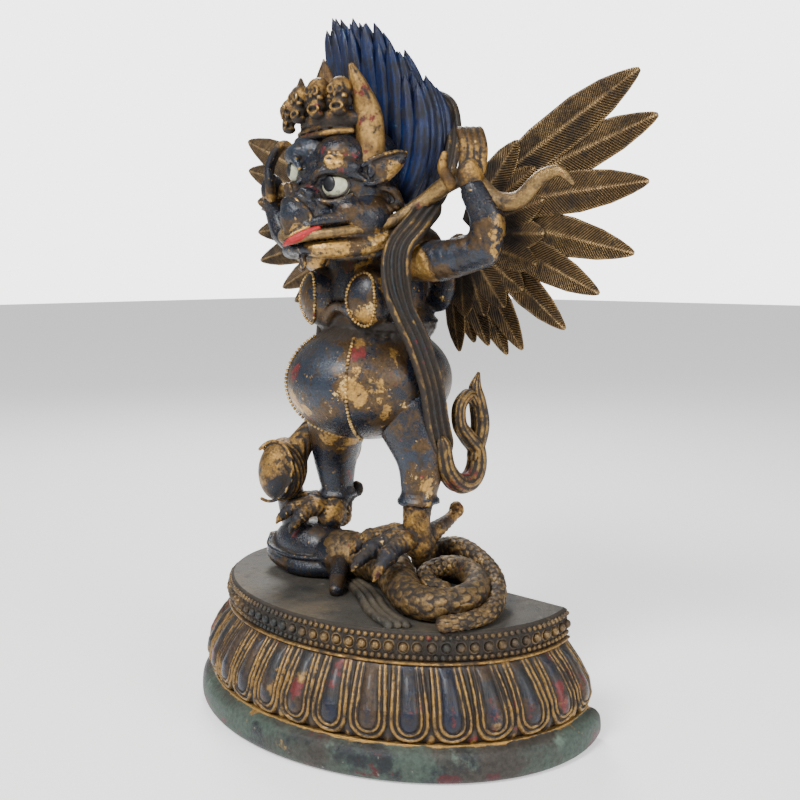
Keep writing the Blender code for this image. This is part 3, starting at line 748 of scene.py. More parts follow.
# Partly painted reflection: slate patches on the lacquer, gathered by the blue mark into a painted bluish
# sheen.
SLATE_SHEEN = (0.014, 0.021, 0.034)
# Painted shade: a dark umber laid where shade falls, in hollows, recesses, creases, furrows, undersides and
# low against the table.
SHADE_UMBER = (0.016, 0.010, 0.006)
DUST = (0.23, 0.20, 0.16)


class Finishes:
    """The statue's finishes, each a ground with what is left of its coats, and with painted highlight, sheen
    and shade.
    """

    LACQUERED = Finish(
        "lacquer_and_leaf", LACQUER, 0.24, 0.2,
        (
            # Slate patches, gathered by the blue mark into a painted bluish sheen.
            Layer(SLATE_SHEEN, 0.28, 0.3, 30.0, 0.58, 0.10, {"blue_sheen": 0.20}, 5.0, 0.3),
            Layer(OLD_BRONZE, 0.38, 0.75, 90.0, 0.585, 0.05,
                  {"gild": 0.24, "blue_sheen": -0.25, "ridge": 0.10}, 12.0, 0.9),
            Layer(CINNABAR, 0.36, 0.1, 80.0, 0.66, 0.02, {"red": 0.26}, 7.0, 0.7),
            Layer(GOLD, 0.34, 0.85, 42.0, 0.69, 0.016,
                  {"gild": 0.26, "blue_sheen": -0.3, "ridge": 0.12}, 12.0, 0.0),
            Layer((0.026, 0.017, 0.010), 0.45, 0.4, 330.0, 0.60, 0.05, {"ridge": -0.10}, 8.0, 0.4),
            Layer(GOLD, 0.32, 0.85, 420.0, 0.70, 0.03, {"ridge": 0.22, "gild": 0.08}, 6.0, 0.6),
            # Painted highlight: pale gold on raised parts.
            Layer(HIGHLIGHT_GOLD, 0.28, 0.9, 150.0, 0.72, 0.02, {"gild": 0.12, "ridge": 0.10}, 8.0, 0.2),
            # Painted shade in recesses and hollows.
            Layer(SHADE_UMBER, 0.6, 0.1, 200.0, 0.62, 0.08, {"recess": 0.40, "hollow": 0.30}, 6.0, 0.5),
        ),
        0.45, 800.0, 0.42, 900.0, 0.08, 0.15,
    )
    GILT = Finish(
        "worn_gilding", (0.30, 0.168, 0.046), 0.36, 0.85,
        (
            Layer((0.085, 0.046, 0.016), 0.42, 0.75, 70.0, 0.50, 0.08, {"ridge": -0.18}, 9.0, 0.4),
            Layer(CINNABAR, 0.40, 0.1, 90.0, 0.65, 0.03, {"red": 0.3}, 6.0, 0.7),
            Layer(LACQUER, 0.38, 0.2, 60.0, 0.60, 0.05, {"dark": 0.30, "ridge": -0.10}, 12.0, 0.1),
            Layer((0.030, 0.019, 0.010), 0.45, 0.4, 360.0, 0.59, 0.06, {"ridge": -0.12}, 8.0, 0.7),
            # Painted highlight: pale gold on raised edges.
            Layer(HIGHLIGHT_GOLD, 0.30, 0.9, 260.0, 0.68, 0.05, {"ridge": 0.20}, 6.0, 0.2),
            # Painted shade in recesses and hollows.
            Layer(SHADE_UMBER, 0.62, 0.15, 160.0, 0.58, 0.12, {"recess": 0.40, "hollow": 0.45}, 6.0),
        ),
        0.45, 900.0, 0.6, 800.0, 0.1,
    )
    WING = Finish(
        "wing_gilding", (0.165, 0.104, 0.048), 0.38, 0.80,
        (
            Layer((0.27, 0.175, 0.080), 0.33, 0.9, 60.0, 0.56, 0.10, {"relief": 0.10, "ridge": 0.2}, 8.0),
            # Dark bronze patches, gathered towards the feather roots as painted shade.
            Layer((0.022, 0.015, 0.009), 0.5, 0.45, 34.0, 0.58, 0.12,
                  {"dark": 0.32, "relief": -0.12}, 8.0, 0.6),
            # Painted shade in recesses and hollows.
            Layer(SHADE_UMBER, 0.65, 0.2, 240.0, 0.62, 0.14, {"recess": 0.30, "hollow": 0.3}, 5.0, 0.9),
        ),
        0.45, 900.0, 0.40, 1000.0, 0.08, 0.0, True,
    )
    HAIR = Finish(
        "ultramarine_hair", (0.0008, 0.0030, 0.020), 0.36, 0.0,
        (
            Layer((0.0014, 0.010, 0.052), 0.32, 0.0, 90.0, 0.54, 0.15, {"relief": 0.16}, 5.0),
            # Painted highlight: teal glints along the combed ridges.
            Layer((0.030, 0.085, 0.110), 0.40, 0.0, 420.0, 0.70, 0.04,
                  {"relief": 0.06, "ridge": 0.10}, 5.0, 0.5),
            # Painted shade in the grooves and hollows of the locks.
            Layer((0.0010, 0.0014, 0.006), 0.6, 0.0, 120.0, 0.60, 0.14,
                  {"recess": 0.35, "hollow": 0.25}, 5.0, 0.2),
        ),
        0.35, 900.0, 0.35, 1200.0, 0.0, 0.05,
    )
    HORN = Finish(
        "ochre_horn", (0.30, 0.175, 0.052), 0.36, 0.70,
        (
            Layer((0.15, 0.082, 0.026), 0.45, 0.6, 90.0, 0.53, 0.08, {}, 9.0),
            Layer((0.10, 0.009, 0.006), 0.42, 0.2, 80.0, 0.64, 0.025, {"red": 0.2}, 8.0, 0.8),
            # Painted shade in recesses and hollows.
            Layer(SHADE_UMBER, 0.6, 0.1, 200.0, 0.60, 0.08, {"recess": 0.4, "hollow": 0.3}, 6.0, 0.5),
        ),
        0.4, 700.0, 0.45, 900.0,
    )
    SCARF = Finish(
        "scarf_lacquer", (0.011, 0.014, 0.017), 0.38, 0.3,
        (
            Layer((0.060, 0.038, 0.018), 0.42, 0.55, 60.0, 0.54, 0.10,
                  {"ridge": 0.16, "gild": 0.22}, 8.0, 0.3),
            Layer((0.21, 0.125, 0.040), 0.36, 0.8, 80.0, 0.64, 0.04, {"gild": 0.22, "ridge": 0.12}, 9.0),
            Layer(CINNABAR, 0.42, 0.1, 50.0, 0.68, 0.05, {"red": 0.30}, 7.0, 0.6),
            # Painted shade in recesses and hollows.
            Layer(SHADE_UMBER, 0.65, 0.1, 180.0, 0.58, 0.10, {"recess": 0.42, "hollow": 0.25}, 6.0, 0.9),
        ),
        0.45, 800.0, 0.5, 900.0, 0.10,
    )
    SNAKE = Finish(
        "scaled_gilding", (0.165, 0.102, 0.042), 0.38, 0.75,
        (
            Layer((0.28, 0.175, 0.064), 0.32, 0.9, 90.0, 0.62, 0.14,
                  {"relief": 0.07, "gild": 0.10, "ridge": 0.10}, 10.0),
            Layer(CINNABAR, 0.42, 0.1, 80.0, 0.68, 0.04, {}, 7.0, 0.7),
            # Painted shade in recesses and hollows.
            Layer(SHADE_UMBER, 0.62, 0.2, 160.0, 0.61, 0.12, {"recess": 0.42, "hollow": 0.3}, 6.0, 0.3),
        ),
        0.45, 900.0, 0.45, 900.0, 0.10,
    )
    PETAL = Finish(
        "petal_lacquer", (0.050, 0.030, 0.016), 0.40, 0.5,
        (
            Layer((0.011, 0.013, 0.016), 0.36, 0.3, 40.0, 0.53, 0.06, {"rim": -0.10}, 10.0, 0.6),
            Layer((0.004, 0.007, 0.019), 0.30, 0.2, 26.0, 0.58, 0.05, {"dome": 0.16, "rim": -0.1}, 9.0, 0.2),
            Layer((0.095, 0.006, 0.006), 0.34, 0.1, 44.0, 0.61, 0.02, {"dome": 0.08}, 10.0, 0.75),
            Layer((0.24, 0.140, 0.044), 0.36, 0.8, 55.0, 0.63, 0.04,
                  {"rim": 0.25, "dome": -0.02, "ridge": 0.08}, 12.0, 0.1),
            Layer((0.026, 0.018, 0.011), 0.50, 0.3, 330.0, 0.62, 0.06, {"ridge": -0.10}, 8.0, 0.4),
            # Painted shade in recesses and hollows.
            Layer(SHADE_UMBER, 0.62, 0.1, 180.0, 0.58, 0.10, {"recess": 0.35, "hollow": 0.35}, 6.0, 0.5),
        ),
        0.45, 600.0, 0.45, 800.0, 0.08, 0.12,
    )
    BEAD = Finish(
        "bead_bronze", (0.070, 0.046, 0.027), 0.40, 0.65,
        (
            Layer((0.19, 0.118, 0.048), 0.35, 0.8, 30.0, 0.54, 0.10, {"ridge": 0.1}, 7.0),
            Layer((0.014, 0.018, 0.018), 0.45, 0.3, 20.0, 0.56, 0.10, {"dark": 0.2}, 9.0, 0.4),
            Layer(CINNABAR, 0.42, 0.1, 40.0, 0.66, 0.03, {}, 6.0, 0.75),
            # Painted shade in recesses and hollows.
            Layer(SHADE_UMBER, 0.62, 0.1, 180.0, 0.62, 0.10, {"recess": 0.30, "hollow": 0.35}, 6.0, 0.5),
        ),
        0.4, 900.0, 0.45, 1000.0, 0.1,
    )
    FLANGE = Finish(
        "verdigris_flange", (0.036, 0.031, 0.026), 0.48, 0.4,
        (
            Layer((0.038, 0.058, 0.045), 0.60, 0.1, 24.0, 0.51, 0.08, {}, 12.0, 0.1),
            Layer((0.085, 0.120, 0.092), 0.66, 0.1, 60.0, 0.64, 0.06, {}, 10.0, 0.2),
            Layer((0.008, 0.011, 0.013), 0.42, 0.2, 34.0, 0.54, 0.05, {"dark": 0.15}, 10.0, 0.5),
            Layer((0.045, 0.005, 0.007), 0.45, 0.1, 48.0, 0.63, 0.03, {"red": 0.22}, 12.0, 0.75),
            Layer(GOLD, 0.38, 0.8, 70.0, 0.68, 0.04, {"gild": 0.3}, 8.0, 0.9),
            Layer((0.16, 0.15, 0.12), 0.7, 0.0, 260.0, 0.70, 0.05, {}, 7.0, 0.35),
        ),
        0.4, 500.0, 0.6, 500.0, 0.12,
    )
    TABLE = Finish(
        "dusty_table", (0.030, 0.030, 0.028), 0.46, 0.35,
        (
            Layer((0.085, 0.064, 0.036), 0.58, 0.3, 24.0, 0.56, 0.12, {"gild": 0.22}, 9.0),
            Layer((0.009, 0.012, 0.013), 0.42, 0.2, 30.0, 0.56, 0.08, {"dark": 0.3}, 9.0, 0.6),
            Layer((0.13, 0.115, 0.085), 0.7, 0.0, 240.0, 0.66, 0.06, {}, 7.0, 0.35),
            # Painted shade in hollows.
            Layer(SHADE_UMBER, 0.62, 0.1, 180.0, 0.62, 0.10, {"hollow": 0.35}, 6.0, 0.5),
        ),
        0.4, 400.0, 0.5, 700.0, 0.2,
    )
    EYE = Finish(
        "eye_white", (0.40, 0.40, 0.28), 0.34, 0.0,
        (Layer((0.10, 0.11, 0.075), 0.5, 0.0, 260.0, 0.66, 0.05, {"recess": 0.3}, 7.0),),
        0.2, 500.0, 0.1, 900.0,
    )
    PUPIL = Finish("pupil_black", (0.003, 0.004, 0.006), 0.45, 0.0, (), 0.1, 500.0, 0.02, 900.0)
    MOUTH = Finish(
        "mouth_red", (0.30, 0.006, 0.007), 0.42, 0.0,
        (Layer((0.5, 0.10, 0.08), 0.5, 0.0, 500.0, 0.64, 0.06),), 0.3, 900.0, 0.4, 1500.0,
    )


class LotusBase:
    """The half-oval lotus base."""

    HALF_WIDTH, FRONT, BACK = 100.0, 79.0, 20.0
    PETALS = 19
    BACK_COLUMNS = 60
    BEADS = 49
    FOOT, CEILING = 15.5, 50.0

    def __init__(self, columns: int) -> None:
        """Spaces the plan's columns evenly round the front, then straight along the back."""
        self.side = math.asin(self.BACK / self.FRONT)
        fine = np.linspace(-math.pi - self.side, self.side, 4001)
        x, y = (self.HALF_WIDTH + 5) * np.cos(fine), (self.FRONT + 5) * np.sin(fine)
        run = np.concatenate([[0], np.cumsum(np.hypot(np.diff(x), np.diff(y)))])
        self.length = run[-1]
        self.fine, self.run = fine, run / run[-1]
        self.columns = columns

    def angle(self, share: np.ndarray) -> np.ndarray:
        """The plan's angle at a share of the front's length."""
        return np.interp(share, self.run, self.fine)

    def outline(self, share: np.ndarray, reach: np.ndarray, back: np.ndarray) -> np.ndarray:
        """Points of the rounded front in millimetres.

        Args:
            share: shares of the front's length.
            reach: how far the level stands out at the front.
            back: how far the level stands out at the back.
        """
        depth = self.FRONT + reach
        side = np.arcsin(np.clip((self.BACK + back) / depth, -1, 1))
        t = self.angle(share)
        t = (t + math.pi / 2) * (math.pi / 2 + side) / (math.pi / 2 + self.side) - math.pi / 2
        return np.stack([(self.HALF_WIDTH + reach) * np.cos(t), depth * np.sin(t)], -1)

    def ring(self, z: float, reach: np.ndarray, back: float) -> np.ndarray:
        """One closed ring of the base at a height, with the straight back."""
        share = np.linspace(0, 1, self.columns)
        front = self.outline(share, np.broadcast_to(reach, share.shape), np.full(share.shape, back))
        straight = np.linspace(0, 1, self.BACK_COLUMNS + 2)[1:-1, None]
        close = front[-1] + (front[0] - front[-1]) * straight
        plan = np.vstack([front, close])
        return np.hstack([plan, np.full((len(plan), 1), z)]) * MM

    def petal_relief(self, share: np.ndarray, height: float) -> Dict[str, np.ndarray]:
        """The petals' relief along one level, in millimetres, with its masks."""
        half = self.length / self.PETALS / 2
        across = ((share * self.PETALS) % 1.0 * 2 - 1) * half
        up = height - self.FOOT
        radius, stretch = half * 0.985, 1.25
        shoulder = radius * stretch + 0.8
        drop = np.where(up < shoulder, (shoulder - up) / stretch, 0.0)
        inside = radius - np.hypot(across, drop) - 0.9 * np.clip((up - 14) / 20, 0, 1)
        rim = hump(inside - 1.2, 1.45) + 0.85 * hump(inside - 3.7, 1.25)
        dome = np.clip((inside - 4.7) / 4.0, 0, 1)
        rise = 1.8 * rim + 2.6 * np.sqrt(dome * (2 - dome)) + np.where(inside > 0, 0.2, 0.0)
        wedge_at = np.hypot((half - np.abs(across)) / 2.4, (up - 2.2) / 6.0)
        wedge = np.clip(1 - wedge_at, 0, 1) * (inside < 0.3)
        rise = rise + 1.6 * wedge ** 0.7
        fade = np.clip((self.CEILING - 1.0 - height) / 4.0, 0, 1) * np.clip(up / 0.8, 0, 1)
        # The last mask is painted shade, strongest where the relief is low, between and below the petals.
        return {"rise": (rise - 1.0) * fade, "rim": np.clip(rim + 0.7 * wedge, 0, 1),
                "dome": dome * np.clip((26 - up) / 10, 0, 1),
                "recess": np.clip(1 - (rise + 0.1) / 0.9, 0, 1) * fade}

    def body(self) -> bpy.types.Object:
        """The petalled body between the flange and the bead band."""
        shape = np.array([(15.0, 7.6), (16.0, 8.6), (18.5, 10.6), (23.0, 12.0), (31.0, 10.6), (39.5, 6.2),
                          (46.5, 1.4), (50.0, -1.0), (51.5, -1.4)])
        levels = np.linspace(15.0, 51.5, 72)
        share = np.linspace(0, 1, self.columns)
        skin = Skin("lotus_petals")
        rows, marks = [], {"rim": [], "dome": [], "recess": []}
        for z in levels:
            reach = np.interp(z, shape[:, 0], shape[:, 1])
            relief = self.petal_relief(share, z)
            lean = np.clip(np.minimum(share, 1 - share) * 60, 0, 1)
            rows.append(self.ring(z, reach + relief["rise"] * lean, max(reach, 0.0) * 0.5))
            for key, values in marks.items():
                values.append(np.append(relief[key], np.zeros(self.BACK_COLUMNS)))
        skin.grid(np.array(rows), **{key: np.array(values) for key, values in marks.items()})
        return skin.make()

    def turned(self, name: str, profile: Sequence[Tuple[float, float, float]], **marks) -> bpy.types.Object:
        """A plain closed moulding.

        Args:
            name: the piece's name.
            profile: rows of height, reach and back reach, from below to above.
            marks: a single value, or one for each row, for each attribute.
        """
        smooth = smooth_path(np.array(profile, dtype=float), 3)
        skin = Skin(name)
        rows = [self.ring(z, reach, back) for z, reach, back in smooth]
        share = np.linspace(0, 1, len(rows))
        spread = {key: np.interp(share, np.linspace(0, 1, len(value)), value)[:, None]
                  for key, value in marks.items()}
        skin.grid(np.array(rows), **spread)
        return skin.make()

    def band(self) -> bpy.types.Object:
        """The wall behind the beads, with a ring collar round each large bead."""
        columns = self.BEADS * 16 + 1
        fine = LotusBase(columns)
        share = np.linspace(0, 1, columns)
        pitch = self.length / self.BEADS
        across = ((share * self.BEADS) % 1.0 - 0.5) * pitch
        skin = Skin("bead_band")
        rows, recess = [], []
        for z in np.linspace(50.6, 65.0, 28):
            collar = hump(np.hypot(across, z - 57.6) - 2.75, 0.55)
            edge = -1.4 * (1 - min(1.0, (65.0 - z) / 1.6)) ** 2
            rows.append(fine.ring(z, -0.6 + 0.75 * collar + edge, -0.4 + edge))
            # Painted shade on the wall between the bead collars.
            recess.append(np.append(1 - collar, np.zeros(self.BACK_COLUMNS)))
        skin.grid(np.array(rows), recess=np.array(recess))
        return skin.make()

    def beads(self) -> Tuple[np.ndarray, np.ndarray]:
        """Bead centres and radii in metres: a large row between two small ones."""
        centres, sizes = [], []
        rng = np.random.default_rng(4)
        for count, z, reach, radius in ((self.BEADS, 57.6, -0.1, 2.15), (self.BEADS * 2, 62.4, -0.4, 1.25),
                                        (self.BEADS * 2, 53.0, -0.5, 1.25)):
            share = (np.arange(count) + 0.5) / count
            plan = self.outline(share, np.full(count, reach), np.zeros(count))
            wobble = 1 + rng.normal(0, 0.04, count)
            centres.append(np.hstack([plan, np.full((count, 1), z)]) * MM)
            sizes.append(radius * wobble * MM)
        return np.vstack(centres), np.concatenate(sizes)

    def build(self, statue: Statue) -> None:
        """Adds the base's pieces."""
        flange = [(0.0, 12.5, 8.0), (0.5, 14.6, 9.2), (3.0, 15.9, 10.0), (7.0, 16.0, 10.0), (11.0, 15.4, 9.7),
                  (13.6, 13.6, 8.6), (14.8, 11.6, 7.2), (15.4, 10.4, 6.0), (16.1, 10.3, 5.6), (16.5, 9.4, 5.0)]
        gild, red = (0, 0, 0, 0, 0, 0, 0.1, 0.5, 1, 1), (0.2, 0.3, 0.5, 0.2, 0, 0, 0, 0, 0, 0)
        fillet = [(49.3, -1.4, -1.2), (49.5, 0.4, 0.0), (50.1, 1.0, 0.4), (50.8, 0.5, 0.2), (51.0, -1.0, -1.0)]
        top = [(63.5, -2.2, -2.0), (64.9, -1.9, -1.7), (65.05, -2.4, -2.2), (65.1, -6.0, -5.0)]
        for made, finish in (
                (self.body(), Finishes.PETAL),
                (self.turned("flange", flange, gild=gild, red=red), Finishes.FLANGE),
                (self.turned("gold_fillet", fillet), Finishes.GILT),
                (self.band(), Finishes.BEAD),
                (self.turned("table_top", top), Finishes.TABLE),
                (Beads.string("base_beads", *self.beads(), Finishes.BEAD.build()), Finishes.BEAD)):
            statue.add(made, "lotus_base", Slot.BASE, finish)


@dataclass(frozen=True)
class Feather:
    """One feather in the wing's plane: root, tip, width in carving units."""

    root: Tuple[float, float]
    tip: Tuple[float, float]
    width: float
    layer: float
    lean: float = 2.0


class Wing:
    """A fan of feathers with barbs that run like a herring's bones."""

    TIPS = {
        Side.LEFT: ((131, 249), (140, 229), (137, 201), (130, 170), (113, 152), (94, 135),
                    (70, 124), (60, 121), (49, 125), (39, 126), (30, 121)),
        Side.RIGHT: ((138, 239), (139, 222), (130, 203), (131, 185), (128, 168), (109, 152),
                     (97, 144), (79, 136), (62, 129), (48, 125), (35, 122)),
    }
    SEAT = 10.8
    NODE = {Side.LEFT: "left_wing", Side.RIGHT: "right_wing"}

    def __init__(self, side: Side) -> None:
        """Lays the feathers out."""
        self.side = side
        tips = self.TIPS[side]
        self.long = [Feather((50 - 24 * k, 203 - 44 * k), tip, 22 - 9 * k, 1.2 + 1.0 * (i % 2))
                     for i, tip in enumerate(tips) for k in (i / (len(tips) - 1),)]
        self.short = []
        for i in range(9):
            k = i / 8
            turn = math.radians(52 - 140 * k)
            reach = 55 - 14 * k
            tip = (34 + reach * math.cos(turn), 180 + reach * math.sin(turn))
            root = (34 + 6 * math.cos(turn), 180 + 6 * math.sin(turn))
            self.short.append(Feather(root, tip, 19, 0.25 * (i % 2), 0.6))

    def blade(self, skin: Skin, feather: Feather, rows: int = 90, half: int = 12) -> None:
        """Adds one feather: a lens with a midrib, a rim and a pointed tip."""
        root = np.array(feather.root)
        run = np.array(feather.tip) - root
        length = float(np.linalg.norm(run))
        along = run / length
        across = np.array((-along[1], along[0]))
        v = np.linspace(0, 1, rows)
        width = feather.width / 2 * np.interp(v, [0, 0.1, 0.35, 0.62, 0.80, 0.91, 0.975, 1.0],
                                              [0.5, 0.66, 0.95, 0.97, 0.74, 0.46, 0.24, 0.10])
        u = np.concatenate([np.linspace(-1, 1, half + 1), np.linspace(1, -1, half + 1)[1:-1]])
        front = np.concatenate([np.ones(half + 1), -np.ones(half - 1)])
        rib = hump(u[None] * width[:, None], 0.85) * 0.55
        rim = hump(np.abs(u[None]) - 0.93, 0.10) * 0.22
        lens = np.sqrt(np.clip(1 - u ** 2, 0, 1))[None] * 0.75
        thick = np.minimum(lens + rib + rim, 1.0) * np.clip(width / 2.0, 0.35, 1)[:, None]
        barb = (v[:, None] * length - np.abs(u[None]) * width[:, None] * 0.9) / 1.5
        place = (root[None, None] + along * (v * length)[:, None, None]
                 + across * (u[None] * width[:, None])[..., None])
        curve = 1.6 * (v - 0.5) ** 2
        y = self.SEAT + 1.1 + feather.layer + feather.lean * v[:, None] + curve[:, None] - front[None] * thick
        points = np.stack([place[..., 0] * self.side.value, y, place[..., 1]], -1) * MM
        points[..., 2] += TABLE
        raised = np.clip(rib * 2 + (np.abs(u[None]) > 0.9), 0, 1)
        if self.side is Side.RIGHT:
            points, barb, raised = points[:, ::-1], barb[:, ::-1], raised[:, ::-1]
        # Painted shade: darker towards each feather's root, under the feathers that lie over it.
        dark = np.broadcast_to(np.clip(1.0 - v * length / 38, 0, 1)[:, None], raised.shape)
        skin.grid(points[::-1], relief=raised[::-1], dark=dark[::-1], barb=barb[::-1],
                  barbed=(1 - raised)[::-1])

    def build(self, statue: Statue) -> None:
        """Adds the wing's pieces."""
        node = self.NODE[self.side]
        word = self.side.name.lower()
        for name, feathers in (("flight", self.long), ("covert", self.short)):
            skin = Skin(f"{word}_{name}_feathers")
            for feather in feathers:
                self.blade(skin, feather)
            statue.add(skin.make(), node, Slot.WING, Finishes.WING)
        plate = Clay(f"{word}_wing_root", 0.8)
        plate.ball((31 * self.side.value, 13.6, 163), (13, 2.2, 18), around=24)
        statue.add(plate.fire(2), node, Slot.WING, Finishes.WING)


def swollen(rings: Tuple[np.ndarray, np.ndarray, np.ndarray, np.ndarray], height: np.ndarray) -> np.ndarray:
    """Ring points moved outwards from their centre by millimetres."""
    rows, spine = rings[0], rings[1]
    return rows + unit(rows - spine[:, None]) * height[..., None] * MM


def scales(run: np.ndarray, turn: np.ndarray, pitch: float, count: int) -> np.ndarray:
    """Overlapping rounded scales: a height of 0 to 1 for each point of a tube's grid.

    Args:
        run: distance along the tube in millimetres.
        turn: angle round it.
        pitch: distance between rows of scales in millimetres.
        count: scales round the tube.
    """
    v = np.broadcast_to((run / pitch)[:, None], (len(run), len(turn)))
    best = np.zeros(v.shape)
    for back in (0, 1):
        row = np.floor(v) - back
        along = (v - row) / 1.7
        around = (turn[None] / (2 * math.pi) * count + 0.5 * (row % 2)) % 1.0 - 0.5
        bound = 0.62 * np.sqrt(np.clip(1 - (2 * along - 1.0) ** 2, 0, 1)) ** 0.8
        inside = np.clip((bound - np.abs(around)) / 0.16, 0, 1)
        best = np.maximum(best, inside * (0.25 + 0.75 * along))
    return best


class Figure:
    """What the two figures of the one casting share."""

    NODE = "garuda_on_naga"

    def __init__(self, statue: Statue) -> None:
        """Keeps the statue that the pieces go to."""
        self.statue = statue

    def add(self, made: bpy.types.Object, finish: Finish) -> None:
        """Adds one piece of the casting."""
        self.statue.add(made, self.NODE, Slot.FIGURE, finish)


class Garuda(Figure):
    """The bird-headed figure: body, limbs, head, hair and scarf."""

    ARMS = {
        Side.LEFT: (((31, -20, 168), (52, -22, 167), (74, -20, 172)), (11.0, 9.5, 8.5),
                    ((74, -20, 172), (76, -20, 185), (71, -24, 198)), (8.5, 8.0, 6.0)),
        Side.RIGHT: (((-31, -20, 170), (-47, -21, 174), (-63, -22, 182)), (10.5, 7.6, 6.6),
                     ((-63, -22, 182), (-67, -22, 190), (-69, -24, 199)), (6.6, 6.2, 5.4)),
    }
    FALLS = {
        Side.LEFT: ((44, -18, 196), (41, -29, 184), (37, -37, 173), (37, -39, 160), (38, -36, 145),
                    (41, -28, 128), (44, -22, 108), (44, -17, 88), (45, -12, 70)),
        Side.RIGHT: ((-44, -18, 196), (-40, -22, 184), (-35, -22, 173), (-34, -20, 160), (-34, -17, 145),
                     (-40, -13, 128), (-44, -14, 108), (-44, -14, 88), (-45, -12, 70)),
    }
    FINGERS = {
        Side.LEFT: ((70, -24, 206), (71, -24, 216), (69, -23, 222), (65, -20, 225.5), (61, -16, 223)),
        Side.RIGHT: ((-70, -24, 205), (-69, -26, 215), (-65, -25, 224), (-60, -22, 228.5), (-56, -18, 225)),
    }
    HAIR_TIPS = ((-1.0, -33, 248), (-0.8, -24, 266), (-0.6, -20, 281), (-0.4, -15, 286), (-0.2, -8, 282),
                 (0.0, -1, 282), (0.2, 7, 283), (0.4, 15, 273.5), (0.6, 22, 270), (0.8, 29, 260),
                 (1.0, 34, 253))
    HAIR_ROWS = ((-14, 11, -2.0, 62), (-8, 13, 0.0, 66), (0, 15, 0.0, 70), (7, 13, -1.0, 66),
                 (11, 11, -4.0, 60), (-14, 10, -20.0, 48), (12, 11, -22.0, 50), (-14, 9, -40.0, 40),
                 (13, 10, -44.0, 40), (0, 2, -12, 48), (0, 2, -28, 44))
    FACE_RISE = 7.0

    def torso(self) -> None:
        """Chest, belly and shoulders, with the gathered hem between them."""
        clay = Clay("torso", 0.9)
        clay.ball((0, -16, 155), (30, 23, 27), around=40)
        clay.ball((0, -19, 107), (39, 45, 30), around=64)
        clay.ball((0, -12, 136), (30, 27, 16), around=40)
        clay.ball((0, -20, 176), (24, 20, 14))
        for side in (-1, 1):
            clay.ball((side * 34, -20, 172), (12, 12, 12))
            clay.ball((self.breast(side), -35, 149), (13, 11, 15))
            clay.ball((side * 23, 6, 156), (12, 4.6, 15))
        for drop, reach, thick in ((0.0, 28.6, 1.5), (-3.0, 28.0, 1.3), (-5.6, 26.8, 1.0)):
            hem = []
            for step in range(37):
                turn = math.radians(-170 + step * 340 / 36)
                rise = 9.0 * max(0.0, math.cos(turn)) ** 14 + drop * (1 - 0.4 * max(0.0, math.cos(turn)) ** 8)
                hem.append(((reach + 1.5) * math.sin(turn), -13.5 - reach * math.cos(turn), 137 + rise))
            clay.limb(hem, [thick] * len(hem), around=10, steps=2)
        torso = clay.fire(3)

        def relief(p: np.ndarray, n: np.ndarray) -> np.ndarray:
            gather = np.sin(np.arctan2(p[:, 0], -15 - p[:, 1]) * 34 + p[:, 2] * 0.15)
            return 0.28 * gather * hump(p[:, 2] - 131, 5.0)

        displace(torso, relief)
        paint(torso, "gild", (0.68, (25, -52, 106), 21), (0.8, (18, -41, 143), 9), (0.7, (-9, -60, 98), 16),
              (0.5, (13, -60, 88), 12), (0.45, (34, -30, 158), 18), base=0.35)
        paint(torso, "red", (0.7, (-7, -62, 114), 10), (0.7, (22, -50, 124), 13), (0.55, (36, -38, 115), 13),
              (0.7, (44, -14, 160), 14))
        # Where the painted bluish sheen gathers on the lacquer, with less gold.
        paint(torso, "blue_sheen", (1.0, (4, -62, 118), 24), (0.8, (20, -54, 84), 22), (0.8, (17, -44, 152), 8))
        # Painted shade in the crease under the gathered hem, at the front.
        mark(torso, "recess", lambda p, n: 0.7 * hump(p[:, 2] - 133, 6) * (p[:, 1] < 0))
        self.add(torso, Finishes.LACQUERED)

    @staticmethod
    def breast(side: int) -> float:
        """How far to the side a breast's middle is."""
        return 15.0 if side > 0 else -17.0

    def strings(self) -> None:
        """Beaded strings over the belly and round the breasts."""
        lean = math.radians(33)
        rows = []
        for side in (-1, 1):
            line = []
            for lift in range(-70, 55, 5):
                reach, rise = math.cos(math.radians(lift)), math.sin(math.radians(lift))
                line.append((side * 39.4 * math.sin(lean) * reach, -19 - 45.4 * math.cos(lean) * reach,
                             107 + 30.4 * rise))
            rows.append(evenly(lifted(line), 2.0 * MM))
            middle = self.breast(side)
            loop = []
            for step in range(25):
                turn = step / 24 * 2 * math.pi
                x, v = middle + side * (3.0 + 7.74 * math.cos(turn)), 12.8 * math.sin(turn)
                bulge = 1 - ((x - middle) / 13.4) ** 2 - (v / 15.4) ** 2
                loop.append((x, -35 - 11.2 * math.sqrt(max(bulge, 0.04)), 148.5 + v))
            rows.append(evenly(lifted(loop), 1.75 * MM))
        points = np.vstack(rows)
        sizes = np.full(len(points), 0.85 * MM)
        self.add(Beads.string("beaded_strings", points, sizes, Finishes.GILT.build(), 10), Finishes.GILT)

    def arm(self, side: Side) -> None:
        """A raised arm and its hand, the joined fingers bent back."""
        s = side.value
        clay = Clay(f"{side.name.lower()}_arm", 0.75)
        upper, upper_radii, lower, lower_radii = self.ARMS[side]
        clay.limb(upper, upper_radii, around=28)
        clay.limb(lower, lower_radii, around=28)
        clay.ball((s * 71.5, -22, 195), (lower_radii[2] + 1.2, lower_radii[2] + 1.2, 1.5))
        arm = clay.fire(3)
        displace(arm, lambda p, n: 0.16 * np.sin(p[:, 0] * 1.1 + p[:, 2] * 0.7) * np.cos(p[:, 1] * 0.9))
        paint(arm, "gild", (0.7, (s * 42, -30, 163), 15), (0.4, (s * 72, -22, 197), 8), base=0.22)
        paint(arm, "red", (0.8, (s * 42, -18, 158), 9))
